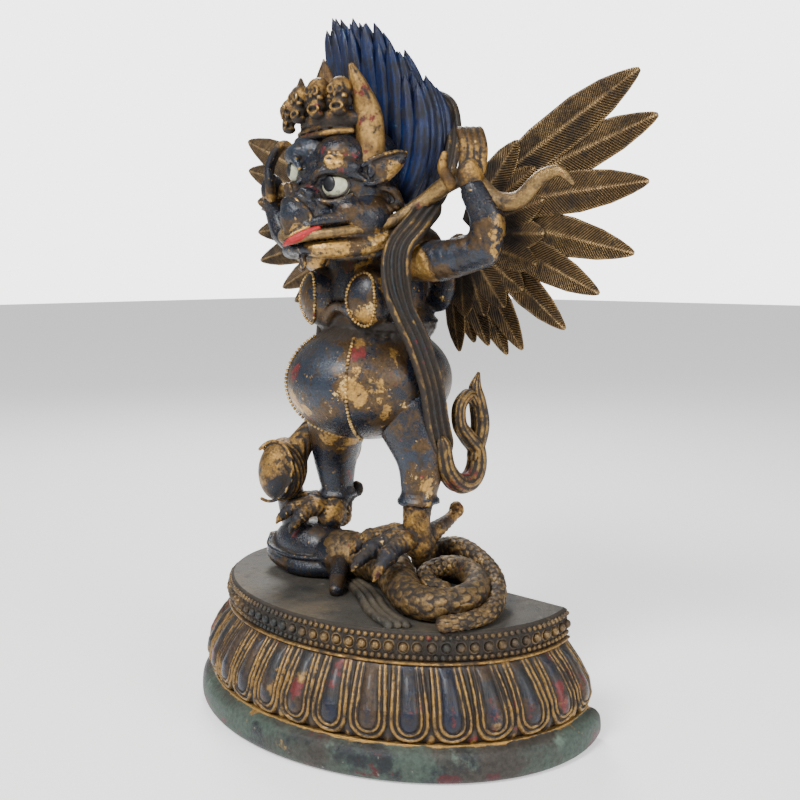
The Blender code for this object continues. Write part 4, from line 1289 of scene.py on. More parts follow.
        # Where the painted bluish sheen gathers on the lacquer, with less gold.
        paint(arm, "blue_sheen", (0.7, (s * 70, -28, 188), 9), (0.5, (s * 60, -30, 168), 9))
        self.add(arm, Finishes.LACQUERED)
        hand = Clay(f"{side.name.lower()}_hand", 0.5)
        hand.ball((s * 69, -24, 205), (6.3, 6.3, 8.5))
        for finger in range(4):
            spread = (finger - 1.5) * 2.9
            path = [(x + s * 0.68 * spread, y + 0.72 * spread, z) for x, y, z in self.FINGERS[side]]
            hand.limb(path, [2.3, 2.2, 2.1, 1.9, 0.8], around=14)
        thumb = flip(s, (63, -30, 201), (60.5, -33, 208), (61.5, -33, 214))
        hand.limb(thumb, [3.0, 2.6, 1.7], around=14)
        hand = hand.fire(2)
        mark(hand, "dark", lambda p, n: (0.9 if side is Side.RIGHT else 0.15) * hump(p[:, 2] - 214, 16))
        self.add(hand, Finishes.GILT)

    def leg(self, side: Side) -> None:
        """A trouser leg, wide at the hip and flared at the hem."""
        s = side.value
        left = side is Side.LEFT
        if left:
            hip, knee, hem = (25, -16, 92), (33, -17, 70), (34, -20, 51)
        else:
            hip, knee, hem = (-27, -15, 92), (-36, -10, 64), (-36, -9, 43)
        clay = Clay(f"{side.name.lower()}_trouser", 0.8)
        clay.limb([hip, knee, hem], [19.0, 12.5, 8.3], around=36)
        low = hem[2]
        cuff = [(hem[0], hem[1], low + 2.5), (hem[0], hem[1], low - 2.4)]
        clay.limb(cuff, [8.8, 10.6], around=36, rounded=False)
        leg = clay.fire(3)

        def relief(p: np.ndarray, n: np.ndarray) -> np.ndarray:
            turn = np.arctan2(p[:, 1] - hem[1], p[:, 0] - hem[0])
            folds = np.sin(turn * 5 + 0.08 * p[:, 2]) * np.clip((70 - p[:, 2]) / 26, 0, 1)
            rim = hump(p[:, 2] - low + 1.0, 1.6)
            return 0.30 * folds + 0.45 * rim

        displace(leg, relief)
        thigh = (0.3, (42, -26, 80), 8) if left else (0.9, (-24, -22, low + 34), 17)
        paint(leg, "gild", (0.95, (40 if left else -21, -24, low + 9), 15), thigh, base=0.15)
        # Where the painted bluish sheen gathers on the lacquer, with less gold.
        paint(leg, "blue_sheen", (0.55, (hem[0] - 4 * s, hem[1] - 9, low + 12), 22))
        paint(leg, "red", (0.2, (hem[0] - 9 * s, hem[1] - 2, low + 16), 6))
        self.add(leg, Finishes.LACQUERED)

    def foot(self, side: Side) -> None:
        """A bird's shank with a back spur and three knuckled toes."""
        left = side is Side.LEFT
        if left:
            hem, ankle, sole, spur = (34, -20, 51), (33, -20, 38), (33, -18, 27), (35, 8, 40)
            ends, thick = [(8, -42, 26), (20, -52, 22), (35, -52, 20)], 4.8
        else:
            hem, ankle, sole, spur = (-34, -9, 43), (-34, -12, 38), (-34, -15, 31), (-33, 3, 42)
            ends, thick = [(-58, -27, 36), (-54, -37, 31), (-42, -38, 28)], 4.4
        clay = Clay(f"{side.name.lower()}_foot", 0.55)
        clay.limb([hem, ankle, sole], [7.6, 6.8, 8.0], around=28)
        heel = (ankle[0], ankle[1] + 4, ankle[2] - 9)
        bend = (spur[0], spur[1] - 7, spur[2] - 4)
        clay.limb([heel, bend, spur], [6.0, 3.4, 3.2], around=20)
        clay.ball((spur[0], spur[1], spur[2] + 0.6), (4.2, 3.4, 4.4))
        for end in ends:
            toe = [tuple(a + (b - a) * k + (lift if i == 2 else 0.0)
                         for i, (a, b) in enumerate(zip(sole, end)))
                   for k, lift in ((0.0, 3.0), (0.35, 6.0), (0.7, 4.0), (0.9, -0.5), (1.0, -4.0))]
            clay.limb(toe, [thick * 1.15, thick, thick * 0.85, thick * 0.6, thick * 0.2], around=18)
            clay.ball(toe[1], (thick * 1.15,) * 3)
            clay.ball(toe[2], (thick * 1.05,) * 3)
        foot = clay.fire(2)

        def relief(p: np.ndarray, n: np.ndarray) -> np.ndarray:
            rings = np.sin(near(p, sole) * 2.6) * np.clip((sole[2] + 8 - p[:, 2]) / 4, 0, 1)
            return 0.14 * rings + 0.16 * np.sin(p[:, 0] * 1.9) * np.sin(p[:, 1] * 1.9 + p[:, 2] * 1.7)

        displace(foot, relief)
        # Painted shade on the faces that look down.
        mark(foot, "recess", lambda p, n: 0.4 * np.clip(-n[:, 2] - 0.2, 0, 1))
        mark(foot, "dark", lambda p, n: (0.2 if left else 0.4) * np.clip((near(p, sole) - 8) / 8, 0, 1))
        paint(foot, "red", (0.5, (24, -34, 30), 9))
        self.add(foot, Finishes.GILT)

    def head(self) -> None:
        """Skull, cheeks, brows, beak, jaw and ears."""
        clay = Clay("head", 0.6)
        clay.ball((0, -34, 205), (26, 26, 25), around=48)
        clay.ball((0, -31, 216), (24, 23, 17), around=40)
        clay.ball((0, -38, 180), (26, 24, 11), around=40)
        clay.ball((0, -56, 186), (14, 12, 11))
        clay.ball((0, -58, 172.5), (11, 10, 4.6))
        beak = [(0, -59, 195), (0, -64.5, 190), (0, -67.5, 183), (0, -71.5, 176)]
        clay.limb(beak, [8.0, 9.4, 7.8, 2.0], around=32)
        shield = [(0, -71.5, 196.0), (5.5, -71.5, 194), (9.5, -67.5, 188), (9.5, -68.5, 182.5),
                  (4, -72.5, 179), (0, -74.0, 176), (-5, -71.5, 179), (-9.0, -67.5, 186),
                  (-5.5, -71.0, 193.5), (0, -71.5, 196.0)]
        clay.limb(shield, [1.15] * 10, around=12)
        for s in (-1, 1):
            rise = self.FACE_RISE if s < 0 else 0.0
            clay.ball((s * 20, -40, 187 + rise), (10, 14, 11))
            clay.ball((s * 17, -50, 190 + rise * 0.7), (9, 8, 7))
            clay.ball((s * 9, -47, 216 + rise * 0.3), (13, 12, 10))
            clay.ball((s * 14, -52.5, 210.5 + rise), (11, 7.5, 5.6), turn=(0, s * 8, s * 32))
            fold = [(s * 4.5, -61, 203 + rise), (s * 8, -61, 207.2 + rise), (s * 15, -57, 208.2 + rise),
                    (s * 22, -49, 205.5 + rise), (s * 25.5, -41, 201.5 + rise)]
            clay.limb(fold, [1.3, 1.9, 2.0, 1.6, 0.9], around=14)
            under = [(s * 5.5, -59.5, 198 + rise), (s * 9, -60.5, 194.6 + rise),
                     (s * 15, -57.5, 193.8 + rise),
                     (s * 20.5, -51, 197.5 + rise)]
            clay.limb(under, [0.9, 1.3, 1.3, 0.8], around=12)
            clay.ball((s * 5.0, -65.5, 197.5 + rise * 0.4), (4.2, 3.4, 3.4))
            curl = arc(0, 5.2, 12, lambda c, d: (
                s * (5.0 + 2.7 * c), -68.3 + 0.5 * c, 197.3 + rise * 0.4 + 2.5 * d))
            clay.limb(curl, [0.85] * 12, around=10, steps=2)
            for points, radii, around in (
                    (((7, -68.5, 183), (12, -64, 185), (18, -55.5, 186.5), (24, -42, 189), (28, -30, 192)),
                     [2.0, 2.6, 3.0, 2.8, 2.2], 16),
                    (((3, -66.5, 172.5), (12, -61, 172), (20, -50, 173), (26, -36, 177), (28, -27, 183)),
                     [2.4, 4.0, 4.6, 4.2, 2.2], 22),
                    (((3, -63, 169.5), (14, -55, 168.4), (24, -38, 172), (27, -28, 177)),
                     [0.8, 1.0, 1.0, 0.8], 10),
                    (((25.5, -37, 201), (28.5, -31, 199), (28, -26, 191), (25.5, -23, 183)),
                     [1.6, 2.2, 2.2, 1.4], 16)):
                clay.limb(flip(s, *points), radii, around=around)
            self.ear(clay, s)
        brow = arc(0, 5.6, 12, lambda c, d: (14.5 + 2.3 * c, -59.6 + 1.0 * c, 212.6 + 2.3 * d))
        clay.limb(brow, [0.75] * 12, around=10, steps=2)
        beard = [(2, -66, 168.5), (3.5, -66.5, 165.5), (1.5, -66, 163), (-1, -65, 164.5)]
        clay.limb(beard, [1.8, 1.7, 1.3, 0.8], around=12)
        head = clay.fire(2)

        def relief(p: np.ndarray, n: np.ndarray) -> np.ndarray:
            wrinkle = np.sin(np.hypot(p[:, 0] * 1.2, p[:, 2] - 190) * 2.2) * hump(near(p, (-2, -63, 205)), 8)
            beard = np.sin(p[:, 1] * 1.5 + p[:, 2] * 0.8) * hump(near(p, (28, -30, 190)), 13)
            pore = np.sin(p[:, 0] * 1.7) * np.sin(p[:, 2] * 1.9 + p[:, 1] * 1.3)
            return 0.35 * wrinkle + 0.28 * beard + 0.10 * pore

        displace(head, relief)
        paint(head, "gild", (0.75, (17, -57, 214), 10), (1.3, (15, -60, 172), 17), (1.2, (25, -40, 176), 15),
              (0.5, (19, -55, 187), 9), (0.7, (27, -40, 193), 8), (0.95, (5, -71, 180), 7),
              (0.8, (-5, -72, 180), 6), (0.9, (9.5, -68, 187), 4), (0.8, (31, -36, 208), 8), base=0.12)
        paint(head, "red", (0.65, (9, -58, 220), 8), (0.5, (5, -62, 203), 8), (0.6, (29, -40, 211), 6),
              (0.4, (18, -56, 208), 8))
        # Where the painted bluish sheen gathers on the lacquer, with less gold.
        paint(head, "blue_sheen", (0.9, (-8, -56, 219), 14), (0.75, (26, -45, 197), 8), (1.0, (1, -73, 190), 7.5))
        # Painted shade under the beak and on the faces that look down.
        mark(head, "recess", lambda p, n: 0.5 * hump(near(p, (0, -62, 166)), 8)
             + 0.35 * np.clip(-n[:, 2] - 0.3, 0, 1))
        self.add(head, Finishes.LACQUERED)

    @staticmethod
    def ear(clay: Clay, s: int) -> None:
        """A leaf-shaped ear with a whorl in it.

        Args:
            clay: the lump to add to.
            s: one for the figure's left, minus one for its right.
        """
        ear = flip(s, (21, -42, 205), (27, -38.5, 208.5), (31.5, -32.5, 212.5), (34, -28.5, 216.5))
        clay.limb(ear, [6.2, 6.2, 3.8, 1.0], around=24, flat=0.6, side=(0.1 * s, 0.35, -1))
        rim = flip(s, (22, -46.5, 210), (27.5, -43.5, 214), (32, -35, 217), (34.5, -29, 217.5))
        clay.limb(rim, [1.0, 1.3, 1.1, 0.6], around=10)
        low = flip(s, (22, -46.5, 202.5), (27, -43, 202.5), (31, -36, 206.5), (34, -29.5, 215))
        clay.limb(low, [0.9, 1.2, 1.0, 0.5], around=10)
        whorl = [(s * (26.5 + 0.30 * r * math.cos(a)), -44.6 + 0.30 * r * math.cos(a),
                  207.6 + r * math.sin(a))
                 for a in np.linspace(0, 9.5, 18) for r in (3.6 - 0.32 * a,)]
        clay.limb(whorl, [0.8] * 18, around=8, steps=2)

    def eyes(self) -> None:
        """Open white eyes with round black pupils and dark rims."""
        for s, centre, look in ((1, (11.8, -52.0, 201.2), (0.12, -0.98, 0.16)),
                                (-1, (-14.0, -51.5, 209.5), (-0.40, -0.90, 0.10))):
            word = "near" if s > 0 else "far"
            ball = Clay(f"{word}_eye", 0.4)
            ball.ball(centre, (7.4, 7.0, 6.0), turn=(0, 0, s * 30), around=36)
            self.add(ball.fire(1), Finishes.EYE)
            ahead = unit(np.array([look]))[0]
            across = unit(np.cross(ahead, (0, 0, 1.0))[None])[0]
            above = np.cross(across, ahead)
            at = np.array(centre) + ahead * 6.3
            pupil = Clay(f"{word}_pupil", 0.3)
            facing = math.degrees(math.atan2(ahead[0], -ahead[1]))
            pupil.ball(tuple(at), (3.3 + 0.3 * s, 1.2, 3.4 + 0.3 * s), turn=(0, 0, facing), around=32)
            self.add(pupil.fire(1), Finishes.PUPIL)
            lid = Skin(f"{word}_eyelid")
            ring = [tuple(np.array(centre) + ahead * (4.6 - 3.8 * abs(math.cos(a)))
                          + across * 7.4 * math.cos(a) + above * 5.6 * math.sin(a))
                    for a in np.linspace(0, 2 * math.pi, 21)]
            # Dark rims in their own colour, with painted shade laid over them.
            lid.grid(tube_rings(ring, [0.75] * 21, around=12, steps=3)[0], dark=1.0, recess=0.6)
            self.add(lid.make(), Finishes.LACQUERED)

    def mouth(self) -> None:
        """The red edge of the beak."""
        clay = Clay("red_lip", 0.4)
        clay.limb([(-1.0, -74.4, 174.0), (3.5, -74.0, 176.0), (8.5, -69.8, 179.0), (12.5, -65.2, 181.6)],
                  [0.8, 1.8, 2.1, 1.4], around=16)
        self.add(clay.fire(1), Finishes.MOUTH)

    def horns(self) -> None:
        """Two horns that curve forward to blunt points."""
        skin = Skin("horns")
        for path in (((20, -39, 211), (20, -38.5, 223), (19.3, -39.5, 235), (19, -44, 246), (18, -46.5, 252),
                      (17.5, -48, 256)),
                     ((-20, -38, 211), (-20, -37, 222), (-19, -38.5, 234), (-17, -43, 243), (-16, -45, 247),
                      (-15.5, -46, 249))):
            rings = tube_rings(path, [6.4, 7.0, 6.8, 4.4, 2.9, 1.5], around=32, steps=12)
            ripple = 0.18 * np.sin(rings[3][None] * 7 + rings[2][:, None] / MM * 0.08)
            skin.grid(swollen(rings, np.broadcast_to(ripple, rings[0].shape[:2])), red=0.05)
        self.add(skin.make(), Finishes.HORN)

    def crown(self) -> None:
        """The diadem with its row of skulls and the leaf jewel."""
        clay = Clay("skull_crown", 0.5)
        band = [(-27, -42, 224), (-17, -51, 224.5), (-3, -54.5, 225.5), (9, -52.5, 226.5), (16, -47, 227)]
        clay.limb(band, [1.6] * 5, around=16)
        clay.limb([(x * 0.98, y + 1.5, z + 3.4) for x, y, z in band], [1.3] * 5, around=12)
        plate = [(-14, -47, 232), (-1, -49.5, 233), (11, -48, 233), (17, -44, 233)]
        clay.limb(plate, [4.0, 5.2, 4.6, 3.6], around=20)
        clay.limb([(-25, -45, 238), (-12, -50, 240), (1, -51, 241), (14, -48, 241)], [3.4] * 4, around=16)
        for number, (x, y, z) in enumerate(((-24.5, -48.5, 240.5), (-11.5, -53.5, 244.5), (2, -54.5, 246),
                                            (14, -52, 246))):
            k = 1.0 - 0.06 * abs(number - 2)
            out = unit(np.array([[x * 0.55, -28.0, 0.0]]))[0]
            along = np.array([-out[1], out[0], 0.0])

            def spot(right: float, ahead: float, up: float) -> Tuple[float, float, float]:
                return tuple(np.array([x, y, z]) + (along * right + out * ahead + np.array([0, 0, up])) * k)

            clay.ball((x, y, z), (6.0 * k, 5.6 * k, 5.8 * k))
            clay.ball(spot(0, 1.0, -6.2), (4.4 * k, 3.8 * k, 3.6 * k))
            clay.ball(spot(0, 1.4, -11.2), (4.0 * k, 3.4 * k, 2.4 * k))
            mouth = arc(0, 2 * math.pi, 11, lambda c, d: spot(3.4 * c, 4.4 - 0.5 * abs(c), -9.0 + 1.9 * d))
            clay.limb(mouth, [0.75] * 11, around=8, steps=2)
            for e in (-1, 1):
                socket = arc(0, 2 * math.pi, 9, lambda c, d: spot(e * 2.5 + 1.7 * c, 5.0, -0.8 + 1.8 * d))
                clay.limb(socket, [0.7] * 9, around=8, steps=2)
                clay.ball(spot(e * 4.0, 3.2, -4.2), (1.6, 1.6, 1.3))
            clay.ball(spot(0, 5.4, -3.4), (0.9, 0.9, 1.3))
            if number < 2:
                clay.limb([spot(0, 0, 4.6), spot(-1.0, -0.4, 8.6)], [2.4, 1.0], around=12)
        crown = clay.fire(1)
        # Some lacquer left all over, and more of it as painted shade on the faces that look down.
        mark(crown, "dark", lambda p, n: 0.18 + 0.35 * np.clip(-n[:, 2], 0, 1))
        paint(crown, "gild", base=0.35)
        # Painted shade on the faces that look down and under the plate.
        mark(crown, "recess", lambda p, n: 0.55 * np.clip(-n[:, 2] + 0.1, 0, 1)
             + 0.1 * hump(p[:, 2] - 233, 3.0))
        self.add(crown, Finishes.GILT)
        leaf = Skin("leaf_jewel")
        v = np.linspace(0, 1, 24)
        half = np.interp(v, [0, 0.25, 0.5, 0.75, 1], [6.2, 7.8, 6.2, 3.4, 0.3])
        u = np.arange(28) / 28 * 2 * math.pi
        x = half[:, None] * np.cos(u)[None]
        thick = np.interp(v, [0, 0.6, 1], [3.2, 2.2, 0.4])[:, None] * np.sin(u)[None]
        rib = -0.9 * hump(np.cos(u), 0.3)[None] * (np.sin(u) < 0)
        y = -48 + thick + rib * (1 - v[:, None])
        z = np.broadcast_to((243 + 18.5 * v)[:, None], x.shape)
        x = x - 1.5 * v[:, None]
        leaf.grid(lifted(np.stack([x, y, z], -1).reshape(-1, 3)).reshape(24, 28, 3), dark=0.3)
        self.add(leaf.make(), Finishes.GILT)

    def hair(self) -> None:
        """Hair that stands up like a flame, in overlapping pointed locks."""
        heights = np.array([196, 206, 218, 232, 242, 252, 263, 272, 280, 288.0])
        widths = np.array([22, 30, 34.5, 36.0, 35.5, 33, 29, 24, 18, 9.0])
        planes = np.array([-8, -8, -8, -8, -10, -13.5, -18.5, -22.5, -26, -29.0])
        leans, ends, tops = np.array(self.HAIR_TIPS, dtype=float).T
        core = Clay("hair_core", 1.1)
        for h in np.arange(206, 256, 7.0):
            wide = float(np.interp(h, heights, widths)) * 0.86
            core.ball((0, float(np.interp(h, heights, planes)), h), (wide, 9.5, 9.5))
        self.add(core.fire(6), Finishes.HAIR)
        rng = np.random.default_rng(7)
        skin = Skin("hair_locks")
        plans = []
        for depth, count, gain, length in self.HAIR_ROWS:
            for i in range(count):
                lean = (i - (count - 1) / 2) / ((count - 1) / 2)
                top = float(np.interp(lean, leans, tops)) + gain - 3.5 * (i % 2) * (gain > -5)
                top += rng.uniform(-2.5, 1.5)
                plans.append((lean, float(np.interp(lean, leans, ends)), top, depth, length))
        shares = (0.0, 0.25, 0.5, 0.75, 0.92, 1.0)
        radii = [3.2, 4.6, 4.8, 4.1, 2.5, 0.4]
        for lean, end, top, depth, length in plans:
            path = []
            sway = rng.uniform(-1.0, 1.0)
            for share in shares:
                h = max(top - length * (1 - share), 197 + 4 * share)
                climb = np.clip((h - 240) / 45, 0, 1)
                x = lean * float(np.interp(min(h, 240), heights, widths)) * 0.92
                x += (end - x) * climb ** 1.2 + sway * share
                y = float(np.interp(h, heights, planes)) + depth * (1 - 0.4 * abs(lean)) * (1 - 0.75 * climb)
                path.append((x, y, h))
            rings = tube_rings(path, radii, around=26, steps=5, flat=0.72, side=(1, 0.05 + 0.3 * lean, 0))
            full = np.clip(np.linalg.norm(rings[0] - rings[1][:, None], axis=2) / MM / 3.2, 0, 1)
            sweep = np.sin(rings[2][:, None] / MM * 0.13 + rng.uniform(0, 6))
            comb = np.sin(rings[3][None] * 8 + 0.9 * sweep)
            # Painted shade in the grooves between the combed strands.
            skin.grid(swollen(rings, 0.24 * comb * full), relief=0.5 + 0.5 * comb,
                      recess=np.clip(-comb, 0, 1) * 0.6)
        self.add(skin.make(), Finishes.HAIR)

    @staticmethod
    def ribbon(skin: Skin, points: Sequence[Sequence[float]], across: Sequence[Sequence[float]], width: float,
               pleats: int, thick: float, edge: float) -> None:
        """Adds a pleated cloth ribbon.

        Args:
            skin: the skin to add to.
            points: the path in carving units.
            across: the direction in which the cloth is wide at each point.
            width: the cloth's width in millimetres.
            pleats: ridges along it.
            thick: how far a ridge stands from the middle in millimetres.
            edge: how gilt its edges are.
        """
        wide = np.array([unit(np.array([a], dtype=float))[0] for a in across])
        path = smooth_path(np.hstack([lifted(points), wide]), 8)
        spine, wide = path[:, :3], unit(path[:, 3:])
        along = unit(np.gradient(spine, axis=0))
        wide = unit(wide - along * np.sum(wide * along, axis=1, keepdims=True))
        out = np.cross(along, wide)
        m = pleats * 10
        u = np.concatenate([np.linspace(-1, 1, m), np.linspace(1, -1, m)[1:-1]])
        face = np.concatenate([np.ones(m), -np.ones(m - 2)])
        ridge = 0.5 - 0.5 * np.cos((u + 1) / 2 * pleats * 2 * math.pi)
        lift = face * thick * (0.35 + 0.65 * ridge) * np.where(np.abs(u) > 0.999, 0.0, 1.0)
        fade = np.ones(len(spine))
        fade[:4] = (0.3, 0.6, 0.8, 0.95)
        fade[-4:] = (0.95, 0.8, 0.6, 0.3)
        rows = spine[:, None] + (wide[:, None] * u[None, :, None] * width / 2
                                 + out[:, None] * lift[None, :, None]) * MM * fade[:, None, None]
        hem = np.clip((np.abs(u) - 0.66) / 0.15, 0, 1)
        # Painted shade in the valleys between the pleats.
        skin.grid(rows, relief=ridge[None], recess=(0.9 - ridge)[None] * 0.8, gild=hem[None] * edge, red=0.1)

    def scarf(self) -> None:
        """The long scarf: an arch behind the head and a pleated fall down each side."""
        for side in Side:
            s = side.value
            skin = Skin(f"{side.name.lower()}_scarf")
            arch = [(0, 9, 250), (s * 17, 8, 249), (s * 30, 6, 243), (s * 37, 2, 231), (s * 41, -4, 218),
                    (s * 43, -12, 203), (s * 44, -22, 190)]
            wide = [(0, 0.5, 1), (s, 0.8, 1), (s, 0.8, 0.6), (s, 0.8, 0.2)] + [(s, 0.8, 0)] * 3
            self.ribbon(skin, arch, wide, 7.5, 2, 1.9, edge=0.7)
            fall = self.FALLS[side]
            level = [(s, 0.8, 0), (s, 0.8, 0.3), (s, 0.7, 0.3), (s, 0.9, 0)] + [(0.2 * s, 1, 0)] * 5
            self.ribbon(skin, fall, level, 14.0, 4, 2.3, edge=0.8)
            self.add(skin.make(), Finishes.SCARF)
            self.curl(side)

    def curl(self, side: Side) -> None:
        """The scarf's end: two open loops and a leaf-shaped tip."""
        x = side.value * 45
        skin = Skin(f"{side.name.lower()}_scarf_end")
        loop = ((-15, 78, 4.6), (-12, 66, 5.2), (-4, 58, 5.7), (5, 57, 5.8), (11, 63, 5.5), (11, 73, 5.0),
                (4, 80, 4.6), (-2, 87, 3.9), (-2, 96, 3.6), (5, 101, 3.4), (10, 96, 2.8))
        tip = ((10, 70, 4.2), (14, 84, 5.0), (12, 96, 4.6), (10, 104, 3.4), (12.5, 111, 0.8))
        for run in (loop, tip):
            rings = tube_rings([(x, y, z) for y, z, _ in run], [radius for _, _, radius in run],
                               around=40, steps=10, flat=0.85, side=(1, 0, 0))
            groove = np.broadcast_to(np.cos(rings[3] * 9)[None], rings[0].shape[:2])
            low = np.clip((66 - (rings[1][:, 2] - TABLE) / MM) / 10, 0, 1)[:, None]
            # Painted shade in the grooves along the roll.
            skin.grid(swollen(rings, 0.26 * groove), recess=np.clip(-groove, 0, 1) * 0.6, gild=0.9,
                      red=0.15 + 0.5 * low)
        self.add(skin.make(), Finishes.SCARF)

    def snake(self) -> None:
        """The snake across the beak, over both palms, its ends curling outwards."""
        skin = Skin("held_snake")
        half = [(0, -72.5, 176.5), (10, -67.5, 178.5), (20, -56, 180.5), (28, -35, 184.5), (38, -24, 193),
                (54, -20, 203), (66, -21, 204), (79, -18, 194), (90, -15, 194), (101, -14, 203),
                (110, -13, 205), (116, -12, 200)]
        girth = [2.4, 2.3, 2.2, 2.8, 3.6, 4.2, 4.4, 4.2, 3.8, 3.1, 2.4, 1.0]
        far = [(-76, -19, 202), (-66, -21, 204)] + [(-x, y, z) for x, y, z in half[5:0:-1]]
        rings = tube_rings(far + half, [2.4, 4.2] + girth[5:0:-1] + girth, around=36, steps=26)
        height = scales(rings[2] / MM, rings[3], 2.4, 10)
        # Painted shade between the scales.
        skin.grid(swollen(rings, 0.20 * height - 0.1), relief=height, recess=(1 - height) * 0.3, gild=0.8)
        self.add(skin.make(), Finishes.SNAKE)

    def build(self) -> None:
        """Adds every piece of the figure."""
        self.torso()
        self.strings()
        for side in Side:
            self.arm(side)
            self.leg(side)
            self.foot(side)
        self.head()
        self.eyes()
        self.mouth()
        self.horns()
        self.crown()
        self.hair()
        self.scarf()
        self.snake()


class SerpentSpirit(Figure):
    """The trampled spirit: raised head, prone back, sash and scaled coil."""

    COIL = ((-20, -20, 13, 12.5), (-2, -17, 13, 11.5), (16, -21, 12, 10.5), (32, -31, 9.5, 9.0),
            (48, -41, 8.0, 8.0), (62, -42, 8.0, 7.6), (71, -33, 9.0, 7.2), (71, -21, 10.5, 6.8),
            (62, -9, 12.5, 6.2), (49, -2, 14.0, 5.8), (38, -4, 13.5, 5.4), (34, -13, 11.0, 5.0),
            (41, -20, 8.5, 4.6), (50, -18, 7.0, 4.0))
    TAIL = ((16, 4, 12, 6.5), (26, 8, 18, 6.0), (38, 8, 21, 5.2), (52, 6, 18, 4.8), (65, 1, 13, 4.6),
            (76, -10, 8, 4.4), (83, -24, 5, 4.2), (83, -38, 4.4, 3.8), (77, -50, 4.0, 3.4))

    def body(self) -> None:
        """The prone back with its rim, the arm and the neck."""
        clay = Clay("spirit_body", 0.7)
        clay.limb([(-56, -26, 44), (-56, -22, 28), (-52, -18, 16)], [7.5, 8.0, 12], around=28)
        clay.ball((-46, -19, 14), (24, 17, 14.6), around=40)
        clay.ball((-22, -18, 12), (22, 15, 12.6), around=36)
        arm = [(-68, -25, 13), (-58, -33, 8), (-38, -34, 5), (-20, -27, 6)]
        clay.limb(arm, [5.2, 5.0, 4.8, 4.4], around=24)
        rim = [(-69, -28, 17), (-62, -35.5, 12.5), (-44, -37.5, 11), (-30, -34, 11), (-20, -28, 12)]
        clay.limb(rim, [1.3] * 5, around=12)
        clay.limb([(-20, -20, 15), (-9, -33, 9), (1, -45, 3)], [6.0, 4.8, 3.8], around=24)
        body = clay.fire(3)
        paint(body, "gild", (0.5, (-12, -30, 10), 12), (0.5, (-46, -36, 6), 8), base=0.1)
        # Where the painted bluish sheen gathers on the lacquer, with less gold.
        paint(body, "blue_sheen", (0.35, (-48, -34, 20), 22))
        # Painted shade low down, where the body meets the table.
        mark(body, "recess", lambda p, n: 0.7 * hump(p[:, 2], 3.0))
        self.add(body, Finishes.LACQUERED)

    def head(self) -> None:
        """The raised head: a smooth gilt face and combed hair to a topknot."""
        clay = Clay("spirit_head", 0.5)
        clay.ball((-56.5, -30, 55), (13.5, 13, 17.5), turn=(-12, 0, 0), around=44)
        clay.limb([(-53, -24, 64), (-47, -19, 76), (-44, -15, 84)], [8.0, 5.6, 3.4], around=24)
        rim = arc(-1.9, 2.4, 15, lambda c, d: (-56.5 + 13.0 * c, -37.8 + 3.0 * c + 3.0 * d, 55 + 16.0 * d))
        clay.limb(rim, [1.0] * 15, around=10, steps=3)
        head = clay.fire(2)

        def combed(p: np.ndarray, n: np.ndarray) -> np.ndarray:
            face = np.clip((p[:, 0] + 0.25 * p[:, 1] + 56.5) / 2.0, 0, 1)
            return face * np.sin((p[:, 1] - 0.5 * p[:, 0]) * 2.2 + p[:, 2] * 0.5)

        displace(head, lambda p, n: 0.25 * combed(p, n))
        # Painted shade in the grooves of the combed hair.
        mark(head, "recess", lambda p, n: 0.5 * np.clip(-combed(p, n), 0, 1))
        mark(head, "dark", lambda p, n: 0.35 * np.clip((p[:, 0] + 56) / 10, 0, 1))
        self.add(head, Finishes.GILT)

    def coil(self) -> None:
        """The scaled body, coiled in front, and the tail round the outside."""
        for name, run, pitch, count, around in (("coiled_body", self.COIL, 4.4, 10, 72),
                                                ("tail", self.TAIL, 3.6, 8, 48)):
            skin = Skin(name)
            rings = tube_rings([p[:3] for p in run], [p[3] for p in run], around=around, steps=34)
            height = scales(rings[2] / MM, rings[3], pitch, count)
            # Painted shade between the scales.
            skin.grid(swollen(rings, 1.1 * height - 0.55), relief=height, recess=(1 - height) * 0.8)
            self.add(skin.make(), Finishes.SNAKE)
        under = Clay("coil_rest", 0.9)
        under.limb([(18, 6, 6), (34, 9, 8), (50, 7, 8), (62, 1, 7)], [7.0, 7.0, 6.5, 5.0], around=24)
        self.add(under.fire(2), Finishes.SNAKE)

    def sash(self) -> None:
        """Three ridges of cloth that run over the table."""
        skin = Skin("sash")
        for strand in range(3):
            off = (strand - 1) * 4.0
            path = [(x + off * 0.7, y + off * 0.7, 0.9) for x, y in
                    ((-13, -24), (5, -31), (19, -39), (32, -48), (45, -55), (57, -59))]
            rings = tube_rings(path, [2.3] * 6, around=20, steps=10)
            skin.grid(rings[0], gild=0.6)
        self.add(skin.make(), Finishes.TABLE)

    def build(self) -> None:
        """Adds every piece of the spirit."""
        self.body()
        self.head()
        self.coil()
        self.sash()


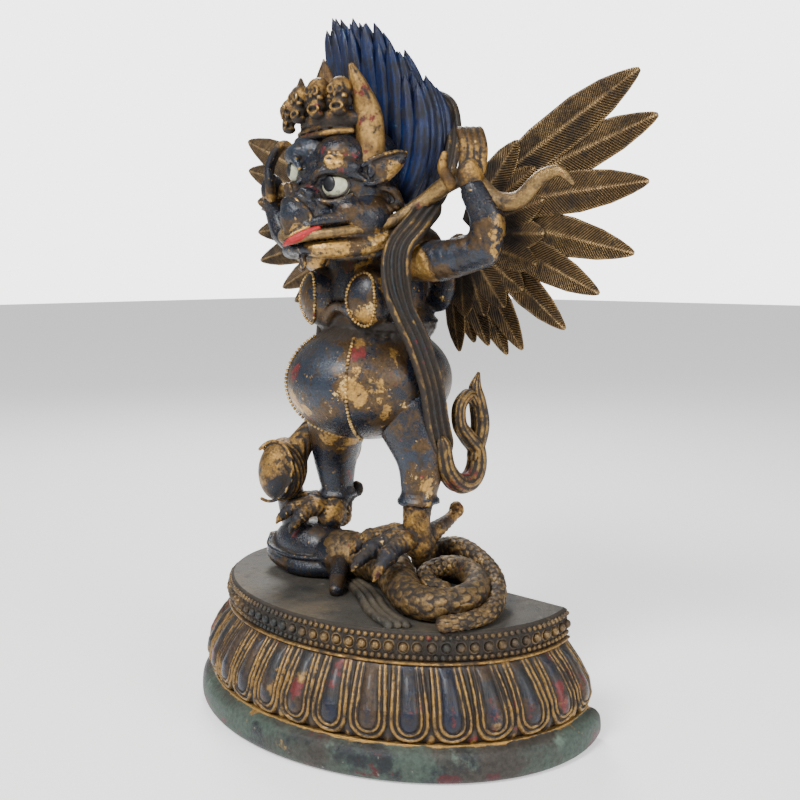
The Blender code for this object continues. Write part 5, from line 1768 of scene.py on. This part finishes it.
def set_stage() -> None:
    """Camera, pale floor, world and soft studio light."""
    scene = bpy.context.scene
    data = bpy.data.cameras.new("camera")
    data.sensor_width, data.lens = 36.0, 48.6
    camera = bpy.data.objects.new("camera", data)
    azimuth, elevation = math.radians(43.46), math.radians(7.01)
    back = Vector((math.sin(azimuth) * math.cos(elevation), -math.cos(azimuth) * math.cos(elevation),
                   math.sin(elevation)))
    right = Vector((math.cos(azimuth), math.sin(azimuth), 0))
    turn = Matrix((right, back.cross(right), back)).transposed()
    camera.matrix_world = Matrix.Translation((0.3869, -0.4054, 0.2288)) @ turn.to_4x4()
    scene.collection.objects.link(camera)
    scene.camera = camera

    mesh = bpy.data.meshes.new("floor")
    mesh.from_pydata([(-6, -6, 0), (6, -6, 0), (6, 6, 0), (-6, 6, 0)], [], [(0, 1, 2, 3)])
    floor = bpy.data.objects.new("floor", mesh)
    floor.location.z = -0.6 * MM
    pale = bpy.data.materials.new("floor_white")
    pale.use_nodes = True
    plug(pale.node_tree, pale.node_tree.nodes["Principled BSDF"], {
        "Base Color": (0.9, 0.9, 0.9, 1), "Roughness": 0.9, "Emission Color": (1, 1, 1, 1),
        "Emission Strength": 0.55})
    mesh.materials.append(pale)
    scene.collection.objects.link(floor)

    world = bpy.data.worlds.new("studio")
    world.use_nodes = True
    tree = world.node_tree
    seen = add_node(tree, "ShaderNodeLightPath").outputs["Is Camera Ray"]
    strength = add_node(tree, "ShaderNodeMapRange", {"Value": seen, "To Min": 0.42, "To Max": 4.0})
    plug(tree, tree.nodes["Background"], {"Color": (1, 1, 1, 1), "Strength": strength.outputs["Result"]})
    scene.world = world
    for name, place, size, power in (("key", (0.15, -0.95, 1.05), 0.45, 24.0),
                                     ("fill", (1.1, 0.0, 0.6), 0.6, 9.0),
                                     ("rim", (-0.7, 0.5, 0.9), 0.4, 9.0)):
        light = bpy.data.lights.new(name, "AREA")
        light.shape, light.size, light.energy = "DISK", size, power
        lamp = bpy.data.objects.new(name, light)
        lamp.location = place
        aim = Vector((0, 0, 0.17)) - Vector(place)
        lamp.rotation_euler = aim.to_track_quat("-Z", "Y").to_euler()
        scene.collection.objects.link(lamp)


def write_sizes() -> None:
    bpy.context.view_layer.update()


def main() -> None:
    """Builds every piece, then the stage."""
    logging.basicConfig(level=logging.INFO, format="%(message)s")
    statue = Statue()
    LotusBase(19 * 42 + 1).build(statue)
    for side in Side:
        Wing(side).build(statue)
    Garuda(statue).build()
    SerpentSpirit(statue).build()
    set_stage()
    write_sizes()
    log.info("%d pieces, %d triangles", len(statue.pieces), sum(map(count_triangles, statue.pieces)))


if __name__ == "__main__":
    main()
